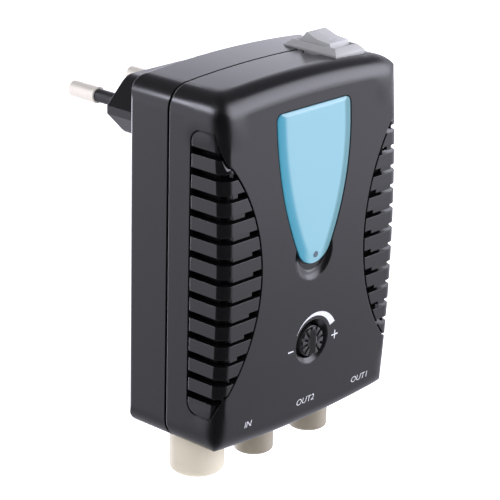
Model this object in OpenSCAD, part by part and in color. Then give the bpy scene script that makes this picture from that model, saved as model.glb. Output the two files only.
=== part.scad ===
// Plug-in aerial amplifier: a two-shell mains case with coaxial connectors underneath.
// Millimetres. The origin is midway between the plug pins, on the face of the plug boss.
// +Y points out of the back along the pins, +Z is up, and the front faces -Y.

/* [Case] */
// Width of the case
body_w = 59; // [57:0.5:64]
// Height of the case at its corners, without the crowned ends
body_h = 82.8; // [80:0.2:90]
// Depth of the case at its middle, without the plug boss
body_d = 29.6; // [29:0.2:34]
// Height of the top corners above the plug pins
pin_drop = 14.4; // [13:0.1:16]
// Depth of the rear housing, up to the joint between the shells
rear_d = 11.8; // [11:0.1:13]
// Thickness of the case walls
wall = 2; // [1.6:0.1:2.2]
// Rise of the crowned top and bottom at their middle
crown = 1.5; // [0.8:0.1:2.2]
// How far the front face bows forward at its middle
bulge = 2; // [1:0.1:2.6]
// Radius of the case corners seen from the front
corner_r = 5.5; // [4:0.1:7]
// Radius of the front edges along the top and the bottom
brow_r = 5.6; // [4:0.1:6]
// Radius of the upright front edges
side_r = 2.8; // [2.5:0.1:3.5]
// Radius of the rear edges
rear_r = 1.2; // [0.8:0.1:1.8]
// Width of the joint line between the shells
seam_w = 0.65; // [0.2:0.05:0.8]
// Depth of the joint line
seam_depth = 1.2; // [0.8:0.1:1.4]
// Gap round pieces that fit into one another
fit_gap = 0.1; // [0.05:0.01:0.2]

/* [Plug] */
// Distance between the pins
pin_pitch = 19; // [18:0.5:20]
// Diameter of the bare pin ends
pin_d = 4; // [3.8:0.1:4.8]
// Length of the bare pin ends
pin_tip_l = 9; // [8:0.5:10]
// Rounding of the pin tips
pin_nose = 1; // [0.6:0.1:1.4]
// Diameter of the pins inside their sleeves
pin_core_d = 2.2; // [2:0.1:2.4]
// Length of the pins behind the boss face
pin_tail_l = 14; // [12:0.5:16]
// Diameter of the insulating sleeves
sleeve_d = 3.2; // [3:0.1:3.4]
// Length of the sleeves in front of the boss face
sleeve_l = 10; // [9:0.5:11]
// Length of the boss
boss_l = 20.8; // [18:0.2:22]
// Width of the boss
boss_w = 32.6; // [30:0.2:36]
// Height of the boss
boss_h = 14.4; // [13:0.2:16]
// Height of the upright facet at each end of the boss
boss_end_h = 1.9; // [1:0.1:3]
// Radius between the slanting facets and the flat sides of the boss
boss_r = 5; // [2:0.5:6]
// Thickness of the boss walls
boss_wall = 2.2; // [1.8:0.1:2.6]
// Thickness of the boss end
boss_end_t = 3; // [2.5:0.1:4]
// Thickness of the plate that clamps the pins
clamp_t = 3; // [2:0.5:4]

/* [Window] */
// Width of the window at its top
lens_w = 24.8; // [22:0.2:27]
// Drop of the window's top edge below the top corners of the case
lens_drop = 6; // [5:0.1:8]
// Height of the window
lens_h = 37; // [34:0.2:38]
// Depth of the window's widest part below its top edge
lens_shoulder = 3.4; // [3:0.1:5]
// Radius of the window's top corners
lens_corner_r = 1.8; // [1:0.1:3]
// Radius of the window's tip
lens_tip_r = 6; // [5.5:0.1:6.5]
// Thickness of the window
lens_t = 1.5; // [1.2:0.1:1.6]
// How far the window stands out of the front
lens_proud = 0.5; // [0.2:0.1:0.8]
// Radius of the scoop below the window's tip
scoop_r = 6.4; // [6:0.1:7]
// Drop of the scoop's centre below the centre of the tip
scoop_drop = 3.4; // [2.5:0.1:4]
// Depth of the scoop
scoop_depth = 0.9; // [0.5:0.1:1.2]
// Diameter of the light pipe
pipe_d = 1.5; // [1.2:0.1:2]
// Height of the light pipe above the lowest point of the window
pipe_rise = 2.4; // [2:0.1:4]
// Diameter of the status light
led_d = 3; // [2.8:0.1:3.2]
// Length of the status light's body
led_l = 3.6; // [3:0.1:4]

/* [Gain knob] */
// Offset of the knob from the middle of the front
knob_x = 0.8; // [-2:0.1:2]
// Height of the knob's centre above the bottom corners of the case
knob_lift = 20.5; // [19:0.1:22]
// Diameter of the knob hole
knob_hole_d = 11; // [10:0.1:12]
// Diameter of the knob
knob_d = 7.3; // [6:0.1:8]
// How far the knob's face stands out of the front
knob_rise = 0.3; // [0:0.1:0.6]
// Thickness of the knob
knob_t = 4.6; // [4:0.1:5]
// Width of the knob's grip ridge
grip_w = 1.8; // [1.2:0.1:2.4]
// Height of the knob's grip ridge
grip_h = 0.7; // [0.4:0.1:1]
// Number of serrations round the knob
serrations = 12; // [10:1:16]
// Thickness of the collar round the knob hole
collar_t = 1.2; // [0.8:0.1:2]
// Depth of the serrations
serration_depth = 0.5; // [0.3:0.05:0.6]
// Diameter of the knob's shaft
shaft_d = 4; // [3:0.1:5]
// Running gap round the shaft
shaft_gap = 0.06; // [0.02:0.01:0.1]
// Width of the variable resistor
pot_w = 9.5; // [8:0.1:10]
// Gap between the knob and the variable resistor
pot_gap = 0.6; // [0.4:0.1:0.8]

/* [Louvres] */
// Number of slots in each panel
slots = 13; // [9:1:13]
// Distance of the end slots from the ends of the panels
slot_margin = 4.9; // [4:0.1:6]
// Height of each slot
slot_h = 1.7; // [1.2:0.1:2.2]
// Height of the panels' middle above the middle of the case
panel_rise = 0.8; // [-1:0.1:2]
// Width of the groove round the panels
groove_w = 0.5; // [0.3:0.05:0.8]
// Depth of the groove round the panels
groove_depth = 0.8; // [0.5:0.1:1]
// Reach of the panels along the sides, from the front
panel_reach = 10.9; // [9:0.1:12]
// Distance of the panels' ends from the corners of the case
panel_margin = 8; // [7.4:0.1:10]
// Reach of the panels' curved edge across the front, from the sides of the case
panel_span = 12.3; // [8:0.1:12.5]
// Radius of the panels' curved edge
panel_arc_r = 42; // [36:0.5:60]
// Radius of the panels' rear corners
panel_corner_r = 3; // [2:0.1:4]
// Distance of the panels' front corners behind the front
panel_lead = 3.6; // [3:0.1:4.5]

/* [Switch] */
// Distance of the switch's middle from the side of the case
switch_inset = 11.6; // [11.5:0.1:13]
// Distance of the switch's middle behind the front
switch_y = 14.4; // [13.8:0.1:15]
// Width of the switch bezel
bezel_w = 10; // [10:0.1:10.6]
// Length of the switch bezel
bezel_l = 15.6; // [15:0.1:15.6]
// Thickness of the switch bezel
bezel_t = 1.2; // [1.2:0.1:2]
// Height of the bezel's edge above the top corners of the case
bezel_rise = 1.6; // [1.6:0.1:2.4]
// Rise of the bezel's inner rim above its edge
rim_rise = 1.2; // [0.8:0.1:1.4]
// Width of the rim's flat top
rim_land = 0.3; // [0.2:0.05:0.4]
// Gap round the bezel in its seat
bezel_gap = 0.3; // [0.2:0.1:0.6]
// Radius of the notch beside the bezel
notch_r = 2.5; // [2:0.1:3]
// How far the notch's middle lies in front of the switch's middle
notch_ahead = 0.9; // [0.5:0.1:1.2]
// Width of the switch body
switch_w = 8.2; // [8:0.1:8.4]
// Length of the switch body
switch_l = 13.4; // [13.2:0.1:13.6]
// Thickness of the switch body's walls
switch_wall = 0.6; // [0.55:0.05:0.65]
// Depth of the switch body below the rocker's pins
switch_depth = 9.5; // [9.2:0.1:10]
// Drop of the rocker's pins below the edge of the bezel
pivot_drop = 1; // [1:0.1:1.6]
// Half the angle that the rocker tips through
rock_a = 12; // [10:0.5:12]
// Half the length of the rocker
rocker_half = 5.3; // [5:0.1:5.4]
// Gap between the rocker and the sides of its well
rocker_gap = 0.2; // [0.15:0.05:0.3]
// Height of the rocker's middle above its pins
rocker_mid = 3.3; // [3:0.1:3.5]
// Half the length of the rocker's top
rocker_top = 3.6; // [3.4:0.1:4.2]
// Angle that each half of the rocker's top rises by
rocker_v = 7; // [4:0.5:9]
// Height above the pins where the rocker's ends start to slant
rocker_brow = 0.6; // [0.4:0.1:0.8]
// Depth of the rocker below its pins
rocker_skirt = 3.2; // [3:0.1:3.4]
// Diameter of the rocker's pins
rocker_pin_d = 1.4; // [1.2:0.1:1.6]
// Running gap round the rocker's pins
rocker_pin_gap = 0.06; // [0.02:0.01:0.1]
// Diameter of the plunger
plunger_d = 1.7; // [1.5:0.1:1.8]
// Reach of the plunger below the rocker's pins
plunger_reach = 5.5; // [5.2:0.05:5.5]
// Length of the spring above the plunger
spring_l = 1.65; // [1.5:0.05:1.8]
// Gap between the plunger and the middle terminal that it slides over
saddle_gap = 0.2; // [0.1:0.05:0.3]
// Reach of the moving contact behind the rocker's pins
contact_y = 4.2; // [4:0.1:4.3]
// Reach of the moving contact below the rocker's pins
contact_reach = 5.3; // [5.1:0.1:5.4]
// Gap left between the closed contacts
contact_gap = 0.15; // [0.1:0.05:0.3]
// Width of the contacts and the terminals
blade_w = 3; // [2.5:0.1:4]
// Thickness of the contacts and the terminals
blade_t = 0.6; // [0.5:0.05:0.8]
// Length of the terminals below the switch
blade_l = 6.5; // [5:0.5:7]

/* [Connectors] */
// Distance of the outer connectors from the sides of the case
conn_inset = 10.1; // [9.8:0.1:10.4]
// Distance of the connectors behind the front
conn_y = 17.1; // [16.6:0.1:17.6]
// Reach of the outputs below the bottom corners of the case
conn_reach = 11.4; // [10:0.1:13]
// Reach of the input socket below the bottom corners of the case
input_reach = 10.2; // [9:0.1:12]
// Outer diameter of the input socket
input_d = 12.8; // [12.4:0.1:13.2]
// Bore of the input socket
input_bore = 9.6; // [9.5:0.05:9.7]
// Outer diameter of the input's centre contact
contact_d = 3.6; // [3.2:0.1:4]
// Bore of the input's centre contact
contact_bore = 2.45; // [2.4:0.05:2.6]
// Depth of the bore in the input's centre contact
contact_l = 8; // [6:0.5:9]
// Outer diameter of the output plugs
output_d = 9.5; // [9.4:0.05:9.6]
// Wall of the output plugs
output_wall = 0.6; // [0.5:0.05:0.8]
// Diameter of the output plugs' centre pins
output_pin_d = 2.35; // [2.3:0.05:2.4]
// Depth of the neck that the case grips on each connector
neck_depth = 0.2; // [0.15:0.05:0.3]
// Setback of the centre contacts from the connector ends
contact_back = 0.8; // [0.5:0.1:1.5]
// Rounding of the outputs' ends
conn_edge = 0.8; // [0.4:0.1:1]
// Rounding of the input socket's end
input_edge = 1.5; // [0.8:0.1:1.6]
// Diameter of the connector flanges
flange_d = 15; // [14.5:0.1:15.5]
// Thickness of the connector flanges
flange_t = 1.5; // [1.2:0.1:2]
// Height of the connector seats above the bottom corners of the case
seat_h = 2.6; // [2.3:0.1:3]
// Height of the connector bodies above their seats
conn_body_h = 6; // [5:0.5:6.5]
// Wall of the connector bodies inside the case
conn_body_wall = 0.6; // [0.5:0.05:0.8]
// Diameter of the contact leads
lead_d = 1.2; // [0.8:0.1:1.4]

/* [Board] */
// Distance of the board's front face behind the front
board_y = 9.4; // [9.2:0.1:9.8]
// Thickness of the board
board_t = 1.6; // [1.2:0.1:1.6]
// Distance of the board from the sides of the case
board_side = 4.5; // [4:0.1:5]
// Drop of the board's upper edge below the top corners of the case
board_drop = 19.4; // [19:0.1:20]
// Height of the board's lower edge above the bottom corners of the case
board_lift = 10.9; // [10.7:0.1:11.2]
// Height of the contact leads above the board's lower edge
lead_rise = 2.7; // [2.4:0.1:3]
// Diameter of the board posts
post_d = 4.6; // [4:0.1:5]
// Distance of the upper board posts from the board's upright edges
post_top_inset = 14; // [13.5:0.1:14.5]
// Distance from the board's upper edge down to the upper posts
post_top_drop = 4; // [3.5:0.1:4.5]
// Distance of the lower board posts from the board's upright edges
post_low_inset = 12; // [11:0.1:13]
// Distance from the board's lower edge up to the lower posts
post_low_rise = 3.5; // [3:0.1:4]
// Diameter of the board screws
board_screw_d = 1.9; // [1.6:0.1:2]
// Length of the board screws under their heads
board_screw_l = 5.5; // [5:0.5:6]
// Diameter of the screw heads
screw_head_d = 3.8; // [3.4:0.1:4.2]
// Thickness of the screw heads
screw_head_t = 1.4; // [1:0.1:1.6]
// Diameter of the case screws
case_screw_d = 2.2; // [2:0.1:2.4]
// Length of the case screws under their heads
case_screw_l = 14; // [12:0.5:15]
// Diameter of the case screw posts
case_post_d = 5.2; // [5:0.1:5.4]
// Thickness of the rear housing under the screw heads
case_grip = 4; // [3:0.5:6]
// Inset of the upper case screws from the sides of the case
case_screw_inset = 4.7; // [4.5:0.1:4.9]
// Drop of the upper case screws below the top corners
case_screw_drop = 7.9; // [7.4:0.1:8.4]
// Rise of the lower case screws above the bottom corners
case_screw_rise = 7.9; // [7.6:0.1:8.2]

/* [Electronics] */
// Distance of the screening can from the board's upright edges
can_side = 3; // [2:0.1:5]
// Height of the board above the screening can
supply_h = 26.9; // [26.5:0.1:30]
// Depth of the screening can
can_d = 9; // [7:0.5:10]
// Thickness of the screening sheet
can_t = 0.5; // [0.3:0.1:0.6]
// Height of the screening can above the board's lower edge
can_rise = 6.6; // [6.4:0.1:7]
// Width of the transformer core
core_w = 17; // [14:0.5:17.5]
// Height of the transformer core
core_h = 14; // [12:0.5:14.5]
// Depth of the transformer core
core_d = 6; // [5:0.5:7]
// Thickness of the core's limbs
core_limb = 3.4; // [3:0.1:3.6]
// Depth of the winding and its bobbin
winding_d = 13.6; // [12:0.2:14]
// Drop of the transformer's middle below the board's upper edge
core_drop = 14.5; // [14:0.1:15]
// Diameter of the mains capacitor
mains_cap_d = 8; // [7:0.5:8]
// Length of the mains capacitor
mains_cap_l = 12; // [9:0.5:14]
// Diameter of the output capacitor
output_cap_d = 6.3; // [5:0.1:6.6]
// Length of the output capacitor
output_cap_l = 10; // [7:0.5:12]
// Distance of the capacitors from the board's upright edge
cap_inset = 8; // [7:0.1:8.2]
// Diameter of the rectifier diodes
diode_d = 2.7; // [2:0.1:2.8]
// Length of the rectifier diodes
diode_l = 5; // [4:0.1:5.2]
// Distance between the rectifier diodes
diode_pitch = 3.6; // [3.4:0.1:3.8]
// Length of the diodes' leads at each end
diode_lead = 1.5; // [1:0.1:1.6]
// Drop of the first diode below the board's upper edge
diode_drop = 4.5; // [4:0.1:4.8]
// Distance of the diodes and the regulator from the board's upright edge
diode_inset = 7; // [6.6:0.1:7.4]
// Gap between neighbouring parts on the board
part_gap = 1; // [0.8:0.1:1.2]
// Width of the regulator
regulator_w = 8; // [6:0.5:9]
// Thickness of the regulator
regulator_t = 3; // [2:0.5:4.5]
// Diameter of the wires
wire_d = 1.6; // [1.2:0.1:1.8]
// Length over which a wire leaves its ends straight
wire_lead = 8; // [6:0.5:10]
// Gap between the switch's wire and the back of the case
wire_back_gap = 1.4; // [1:0.1:1.8]

/* [Hidden] */
$fn = 64;
fine = 360;
slack = 4;
eps = 0.02;
edge_eps = 0.004;

charcoal = "#4b4b4f";
sky = "#a8dcee";
pale_grey = "#c6c6c8";
nickel = "#cfc9bf";
black = "#1b1b1d";
white = "#eceae4";
green = "#2f6b45";
copper = "#b06a3b";

// Case planes and arcs
top_z = pin_drop;
bottom_z = top_z - body_h;
mid_z = (top_z + bottom_z) / 2;
back_y = -boss_l;
front_y = back_y - body_d;
part_y = back_y - rear_d;
crown_r = (pow(body_w / 2, 2) + pow(crown, 2)) / (2 * crown);
crown_z = top_z + crown - crown_r;
bulge_r = (pow(body_h / 2, 2) + pow(bulge, 2)) / (2 * bulge);
bulge_y = front_y + bulge_r;
conn_pitch = body_w / 2 - conn_inset;
sweep_a = asin((body_h / 2 + crown + slack) / (bulge_r - body_d));
crown_a = ceil(asin((body_w / 2 + slack) / (crown_r - body_h / 2 - crown - slack)));

// Louvre places
panel_h = body_h - 2 * panel_margin;
panel_inner = body_w / 2 - panel_span;
slot_pitch = (panel_h - 2 * slot_margin) / (slots - 1);
panel_low_z = mid_z + panel_rise - panel_h / 2;
panel_high_z = panel_low_z + panel_h;
arc_rise = sqrt(pow(panel_arc_r, 2) - pow(panel_arc_r - panel_span + side_r, 2));
nose_rise = min(arc_rise, panel_h / 2 - abs(panel_rise) - 1);

// Window, light and knob places
lens_top_z = top_z - lens_drop;
lens_low_z = lens_top_z - lens_h;
tip_z = lens_low_z + lens_tip_r;
shoulder_z = lens_top_z - lens_shoulder;
lens_rise_2 = pow(shoulder_z - tip_z, 2);
lens_side_r = (pow(lens_w / 2, 2) + lens_rise_2 - pow(lens_tip_r, 2)) / (lens_w - 2 * lens_tip_r);
pipe_z = lens_low_z + pipe_rise;
knob_z = bottom_z + knob_lift;
knob_face_y = front_at(knob_z) - knob_rise;
knob_back_y = knob_face_y + knob_t;
pot_y = knob_back_y + pot_gap;

// Board planes and posts
board_front = front_y + board_y;
board_back = board_front + board_t;
board_w = body_w - 2 * board_side;
board_low_z = bottom_z + board_lift;
board_top_z = top_z - board_drop;
board_h = board_top_z - board_low_z;
post_top_x = board_w / 2 - post_top_inset;
post_low_x = board_w / 2 - post_low_inset;
post_spots = [for (s = [-1, 1])
    each [[s * post_top_x, board_top_z - post_top_drop], [s * post_low_x, board_low_z + post_low_rise]]];
case_spots = [for (s = [-1, 1])
    each [[s * (body_w / 2 - case_screw_inset), top_z - case_screw_drop],
          [s * conn_pitch / 2, bottom_z + case_screw_rise]]];
case_head_y = part_y + case_grip;

// Connector places
conn_axis_y = front_y + conn_y;
conn_end_z = bottom_z - conn_reach;
input_end_z = bottom_z - input_reach;
neck_z = bottom_z - crown - fit_gap;
seat_z = bottom_z + seat_h;
flange_top_z = seat_z + flange_t;
conn_top_z = seat_z + conn_body_h;
lead_z = board_low_z + lead_rise;
conn_x = [-conn_pitch, conn_pitch, 0];
conn_d = [input_d, output_d, output_d];

// Places of the parts on the board
can_w = board_w - 2 * can_side;
can_h = board_h - can_rise - supply_h;
core_z = board_top_z - core_drop;
cap_x = board_w / 2 - cap_inset;
diode_x = board_w / 2 - diode_inset;

// Switch places
switch_x = body_w / 2 - switch_inset;
switch_mid_y = front_y + switch_y;
bezel_top_z = top_z + bezel_rise;
bezel_low_z = bezel_top_z - bezel_t;
pivot_z = bezel_top_z - pivot_drop;
switch_low_z = pivot_z - switch_depth;
well_w = switch_w - 2 * switch_wall;
well_l = switch_l - 2 * switch_wall;
rocker_w = well_w - 2 * rocker_gap;
rocker_end = rocker_mid + rocker_top * tan(rocker_v);
rim_z = bezel_top_z + rim_rise;
saddle_z = pivot_z - plunger_reach - saddle_gap;
rear_y = contact_y * cos(rock_a) - contact_reach * sin(rock_a);
closed_z = pivot_z - contact_reach * cos(rock_a) - (contact_y + blade_t) * sin(rock_a) - contact_gap;
blade_low_z = switch_low_z - blade_l;
live_y = switch_mid_y + rear_y + blade_t / 2;
live_lead = back_y - wall - wire_d / 2 - wire_back_gap - live_y;

// Y of the front face at height z
function front_at(z) = bulge_y - sqrt(pow(bulge_r, 2) - pow(z - mid_z, 2));

// A point on a smooth curve from a to b that leaves along da and arrives along db
function bend(a, da, b, db, t) =
    pow(1 - t, 3) * a + 3 * pow(1 - t, 2) * t * (a + da) + 3 * (1 - t) * t * t * (b + db) + pow(t, 3) * b;

function unit(v) = v / norm(v);
function heading(path, i) = unit(path[min(i + 1, len(path) - 1)] - path[max(i - 1, 0)]);

// One ring of a tube round a path's point
function ring(path, i, r, sides) =
    let (t = heading(path, i), u = unit(cross(t, [0.36, 0.48, 0.8])), v = cross(t, u))
    [for (k = [0 : sides - 1]) path[i] + r * (cos(360 * k / sides) * u + sin(360 * k / sides) * v)];

// A closed tube along a path
module tube(path, r, sides) {
    n = len(path);
    rings = [for (i = [0 : n - 1]) each ring(path, i, r, sides)];
    walls = [for (i = [0 : n - 2], k = [0 : sides - 1])
        let (a = i * sides + k, b = i * sides + (k + 1) % sides)
        each [[a, a + sides, b], [b, a + sides, b + sides]]];
    ends = [for (k = [1 : sides - 2])
        each [[0, k, k + 1], [(n - 1) * sides, (n - 1) * sides + k + 1, (n - 1) * sides + k]]];
    polyhedron(points = rings, faces = concat(walls, ends));
}

// A flat outline, X across and Z up, drawn out along Y from y0 to y1
module along_y(y0, y1) {
    translate([0, y1, 0])
        rotate([90, 0, 0])
            linear_extrude(y1 - y0) children();
}

// A flat outline, Y across and Z up, drawn out along X from x0 to x1
module along_x(x0, x1) {
    translate([x0, 0, 0])
        rotate([90, 0, 90])
            linear_extrude(x1 - x0) children();
}

// A round bar along Y
module bar_y(d, y0, y1) {
    translate([0, y1, 0])
        rotate([90, 0, 0]) cylinder(d = d, h = y1 - y0);
}

// A box between two corners
module box(low, high) {
    translate(low) cube(high - low);
}

// The case seen from the front, drawn in by t
module front_outline(t) {
    r = max(corner_r - t, 0.6);
    half = body_w / 2 - t;
    arc = crown_r - t;
    high = crown_z + sqrt(pow(arc - r, 2) - pow(half - r, 2));
    low = 2 * mid_z - high;
    intersection() {
        translate([r - half, bottom_z - slack]) square([2 * (half - r), body_h + 2 * slack]);
        translate([0, crown_z]) circle(r = arc, $fn = fine);
        translate([0, 2 * mid_z - crown_z]) circle(r = arc, $fn = fine);
    }
    translate([-half, low]) square([2 * half, high - low]);
    for (s = [-1, 1], z = [low, high])
        translate([s * (half - r), z]) circle(r = r);
}

// The rounded front edges along the crowned top and bottom, drawn in by t
module brow_sweep(t) {
    r = max(brow_r - t, 0.6);
    high = top_z + crown - t - r;
    reach = bulge_r - t - r;
    lean = asin((high - mid_z) / reach);
    brow_y = bulge_y - reach * cos(lean);
    ring = (crown_r - t - r) * cos(lean);
    inner = ring - (high - mid_z) / cos(lean) - slack;
    depth = 2 * body_d;
    translate([0, 0, mid_z])
        for (turn = [0, 180])
            rotate([0, turn, 0])
                translate([0, brow_y - edge_eps, high - mid_z + edge_eps])
                    rotate([-lean, 0, 0])
                        translate([0, 0, -ring])
                            rotate([90, 0, 0])
                                rotate([0, 0, 90 - crown_a])
                                    rotate_extrude(angle = 2 * crown_a, $fn = fine) {
                                        translate([inner, -depth]) square([ring - inner, depth + r + slack]);
                                        translate([inner, -depth])
                                            square([ring + r + slack - inner, depth + r * sin(lean)]);
                                        translate([ring, 0]) circle(r = r);
                                    }
}

// The crowned top and bottom with their rounded rear edges, drawn in by t
module crown_sweep(t) {
    rr = max(rear_r - t, 0.3);
    outer = crown_r - t + edge_eps;
    inner = crown_r - body_h / 2 - crown - slack;
    rear_end = back_y - t;
    translate([0, 0, mid_z])
        for (turn = [0, 180])
            rotate([0, turn, 0])
                translate([0, 0, crown_z - mid_z])
                    rotate([90, 0, 0])
                        rotate([0, 0, 90 - crown_a])
                            rotate_extrude(angle = 2 * crown_a, $fn = fine) {
                                translate([inner, rr - rear_end])
                                    square([outer - inner, rear_end - rr - front_y]);
                                translate([inner, -rear_end])
                                    square([outer - rr - inner, rear_end - front_y]);
                                translate([outer - rr, rr - rear_end]) circle(r = rr);
                            }
}

// The bowed front with its rounded upright edges, drawn in by t
module front_sweep(t) {
    r = max(side_r - t, 0.4);
    half = body_w / 2 - t + eps;
    outer = bulge_r - t;
    translate([0, bulge_y, mid_z])
        rotate([0, 90, 0])
            rotate([0, 0, -90 - sweep_a])
                rotate_extrude(angle = 2 * sweep_a, $fn = fine) {
                    translate([outer - body_d, -half]) square([body_d - r, 2 * half]);
                    translate([outer - body_d, r - half]) square([body_d, 2 * (half - r)]);
                    for (s = [-1, 1])
                        translate([outer - r, s * (half - r)]) circle(r = r);
                }
}

// The whole form in front of the shells' joint, drawn in by t
module front_form(t) {
    intersection() {
        along_y(front_y - slack, part_y) front_outline(t);
        brow_sweep(t);
        front_sweep(t);
    }
}

// The rear form behind the shells' joint, drawn in by t
module rear_form(t) {
    rr = max(rear_r - t, 0.3);
    half = body_w / 2 - t + eps;
    low_y = part_y - slack;
    intersection() {
        along_y(part_y, back_y + slack) front_outline(t);
        crown_sweep(t);
        translate([0, 0, bottom_z - slack])
            linear_extrude(body_h + 2 * slack) {
                translate([-half, low_y]) square([2 * half, back_y - t - rr - low_y]);
                translate([rr - half, low_y]) square([2 * (half - rr), back_y - t - low_y]);
                for (s = [-1, 1])
                    translate([s * (half - rr), back_y - t - rr]) circle(r = rr);
            }
    }
}

// A point of the boss outline's rounded corner, a degrees round from its top
function boss_point(half_h, flat_x, a) =
    [flat_x + boss_r * (sin(a) - tan(22.5)), half_h - boss_r * (1 - cos(a))];

// The boss seen along the pins, drawn in by t
module boss_outline(t) {
    half_h = boss_h / 2 - t;
    half_w = boss_w / 2 - t;
    end = boss_end_h / 2 + t * (sqrt(2) - 1);
    flat_x = half_w - (half_h - end);
    quarter = [[half_w, end], for (a = [45 : -5 : 0]) boss_point(half_h, flat_x, a)];
    polygon(concat(
        [for (p = [len(quarter) - 1 : -1 : 0]) quarter[p]],
        [for (p = quarter) [p[0], -p[1]]],
        [for (p = [len(quarter) - 1 : -1 : 0]) -quarter[p]],
        [for (p = quarter) [-p[0], p[1]]]));
}

// The window's outline, widened by c
module lens_outline(c) {
    half = lens_w / 2 + c;
    corner = lens_corner_r + c;
    join_z = tip_z - lens_tip_r * (shoulder_z - tip_z) / (lens_side_r - lens_tip_r);
    intersection() {
        translate([-half, join_z]) square([2 * half, shoulder_z - join_z]);
        translate([lens_w / 2 - lens_side_r, shoulder_z]) circle(r = lens_side_r + c, $fn = fine);
        translate([lens_side_r - lens_w / 2, shoulder_z]) circle(r = lens_side_r + c, $fn = fine);
    }
    translate([-half, shoulder_z]) square([2 * half, lens_top_z + c - corner - shoulder_z]);
    translate([corner - half, shoulder_z]) square([2 * (half - corner), lens_top_z + c - shoulder_z]);
    for (s = [-1, 1])
        translate([s * (half - corner), lens_top_z + c - corner]) circle(r = corner);
    translate([0, tip_z]) circle(r = lens_tip_r + c - eps);
}

// One louvre panel seen from the side of the case
module panel_side() {
    nose_y = front_at(mid_z + nose_rise);
    lead_y = front_y + panel_lead;
    rear_end = front_y + panel_reach;
    corner_y = rear_end - panel_corner_r;
    polygon([[front_y - slack, mid_z - nose_rise], [nose_y, mid_z - nose_rise], [lead_y, panel_low_z],
             [corner_y, panel_low_z], [rear_end, panel_low_z + panel_corner_r],
             [rear_end, panel_high_z - panel_corner_r], [corner_y, panel_high_z],
             [lead_y, panel_high_z], [nose_y, mid_z + nose_rise], [front_y - slack, mid_z + nose_rise]]);
    for (z = [panel_low_z + panel_corner_r, panel_high_z - panel_corner_r])
        translate([corner_y, z]) circle(r = panel_corner_r);
}

// The space of one louvre panel, on side s, drawn in by t
module panel_space(s, t) {
    edge = body_w / 2 - side_r;
    intersection() {
        along_x(s > 0 ? panel_inner - slack : -body_w, s > 0 ? body_w : slack - panel_inner)
            offset(delta = -t) panel_side();
        along_y(front_y - slack, front_y + panel_reach + slack) {
            translate([s * (panel_inner + panel_arc_r), mid_z]) circle(r = panel_arc_r - t, $fn = fine);
            translate([s > 0 ? edge : -body_w, panel_low_z - slack])
                square([body_w - edge, panel_h + 2 * slack]);
        }
    }
}

// The slots of one louvre panel
module panel_slots(s) {
    low = mid_z + panel_rise - (slots - 1) / 2 * slot_pitch - slot_h / 2;
    intersection() {
        panel_space(s, 0);
        for (i = [0 : slots - 1])
            translate([-body_w, front_y - slack, low + i * slot_pitch]) cube([2 * body_w, body_d, slot_h]);
    }
}

// The seats that the connector flanges rest on, between y0 and y1
module conn_seats(y0, y1) {
    half = conn_pitch + flange_d / 2;
    intersection() {
        box([-half, y0, bottom_z - slack], [half, y1, seat_z]);
        along_y(y0, y1) front_outline(wall / 2);
    }
}

// The holes that the connectors and the switch leave in both shells
module shared_openings() {
    for (i = [0 : 2])
        translate([conn_x[i], conn_axis_y, bottom_z - 2 * slack])
            cylinder(d = conn_d[i] - 2 * neck_depth + 2 * fit_gap, h = 2 * slack + seat_h + eps);
    translate([switch_x, switch_mid_y, 0]) {
        box([-switch_w / 2 - fit_gap, -switch_l / 2 - fit_gap, top_z - 2 * slack],
            [switch_w / 2 + fit_gap, switch_l / 2 + fit_gap, top_z + slack]);
        box([-bezel_w / 2 - bezel_gap, -bezel_l / 2 - bezel_gap, bezel_low_z],
            [bezel_w / 2 + bezel_gap, bezel_l / 2 + bezel_gap, top_z + slack]);
    }
}

// Front half of the case
module front_cover() {
    color(charcoal)
        difference() {
            union() {
                difference() {
                    front_form(0);
                    front_form(wall);
                }
                intersection() {
                    front_form(wall / 2);
                    union() {
                        for (p = post_spots)
                            translate([p[0], 0, p[1]]) bar_y(post_d, front_y, board_front);
                        for (p = case_spots)
                            translate([p[0], 0, p[1]]) bar_y(case_post_d, front_y, part_y);
                        translate([knob_x, 0, knob_z])
                            bar_y(knob_hole_d + 2 * collar_t, front_y, pot_y - fit_gap);
                    }
                }
                conn_seats(conn_axis_y - flange_d / 2, part_y);
            }
            difference() {
                box([-body_w, part_y - seam_w, bottom_z - slack], [body_w, part_y + slack, top_z + slack]);
                along_y(front_y, part_y) front_outline(seam_depth);
            }
            for (s = [-1, 1]) {
                difference() {
                    panel_space(s, 0);
                    panel_space(s, groove_w);
                    front_form(groove_depth);
                }
                panel_slots(s);
            }
            difference() {
                along_y(front_y - slack, front_y + slack) lens_outline(fit_gap);
                front_sweep(lens_t - lens_proud + fit_gap);
            }
            difference() {
                along_y(front_y - slack, front_y + slack)
                    translate([0, tip_z - scoop_drop]) circle(r = scoop_r);
                front_sweep(scoop_depth);
            }
            translate([switch_x - bezel_w / 2, switch_mid_y - notch_ahead, bezel_low_z])
                cylinder(r = notch_r, h = 2 * slack);
            translate([0, 0, pipe_z]) bar_y(pipe_d + 2 * fit_gap, front_y - slack, front_y + slack);
            translate([knob_x, 0, knob_z]) bar_y(knob_hole_d, front_y - slack, front_y + 2 * slack);
            for (p = post_spots)
                translate([p[0], 0, p[1]])
                    bar_y(board_screw_d + fit_gap, board_back - board_screw_l - fit_gap, board_back);
            for (p = case_spots)
                translate([p[0], 0, p[1]])
                    bar_y(case_screw_d + fit_gap, case_head_y - case_screw_l - fit_gap, part_y);
            shared_openings();
        }
}

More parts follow.
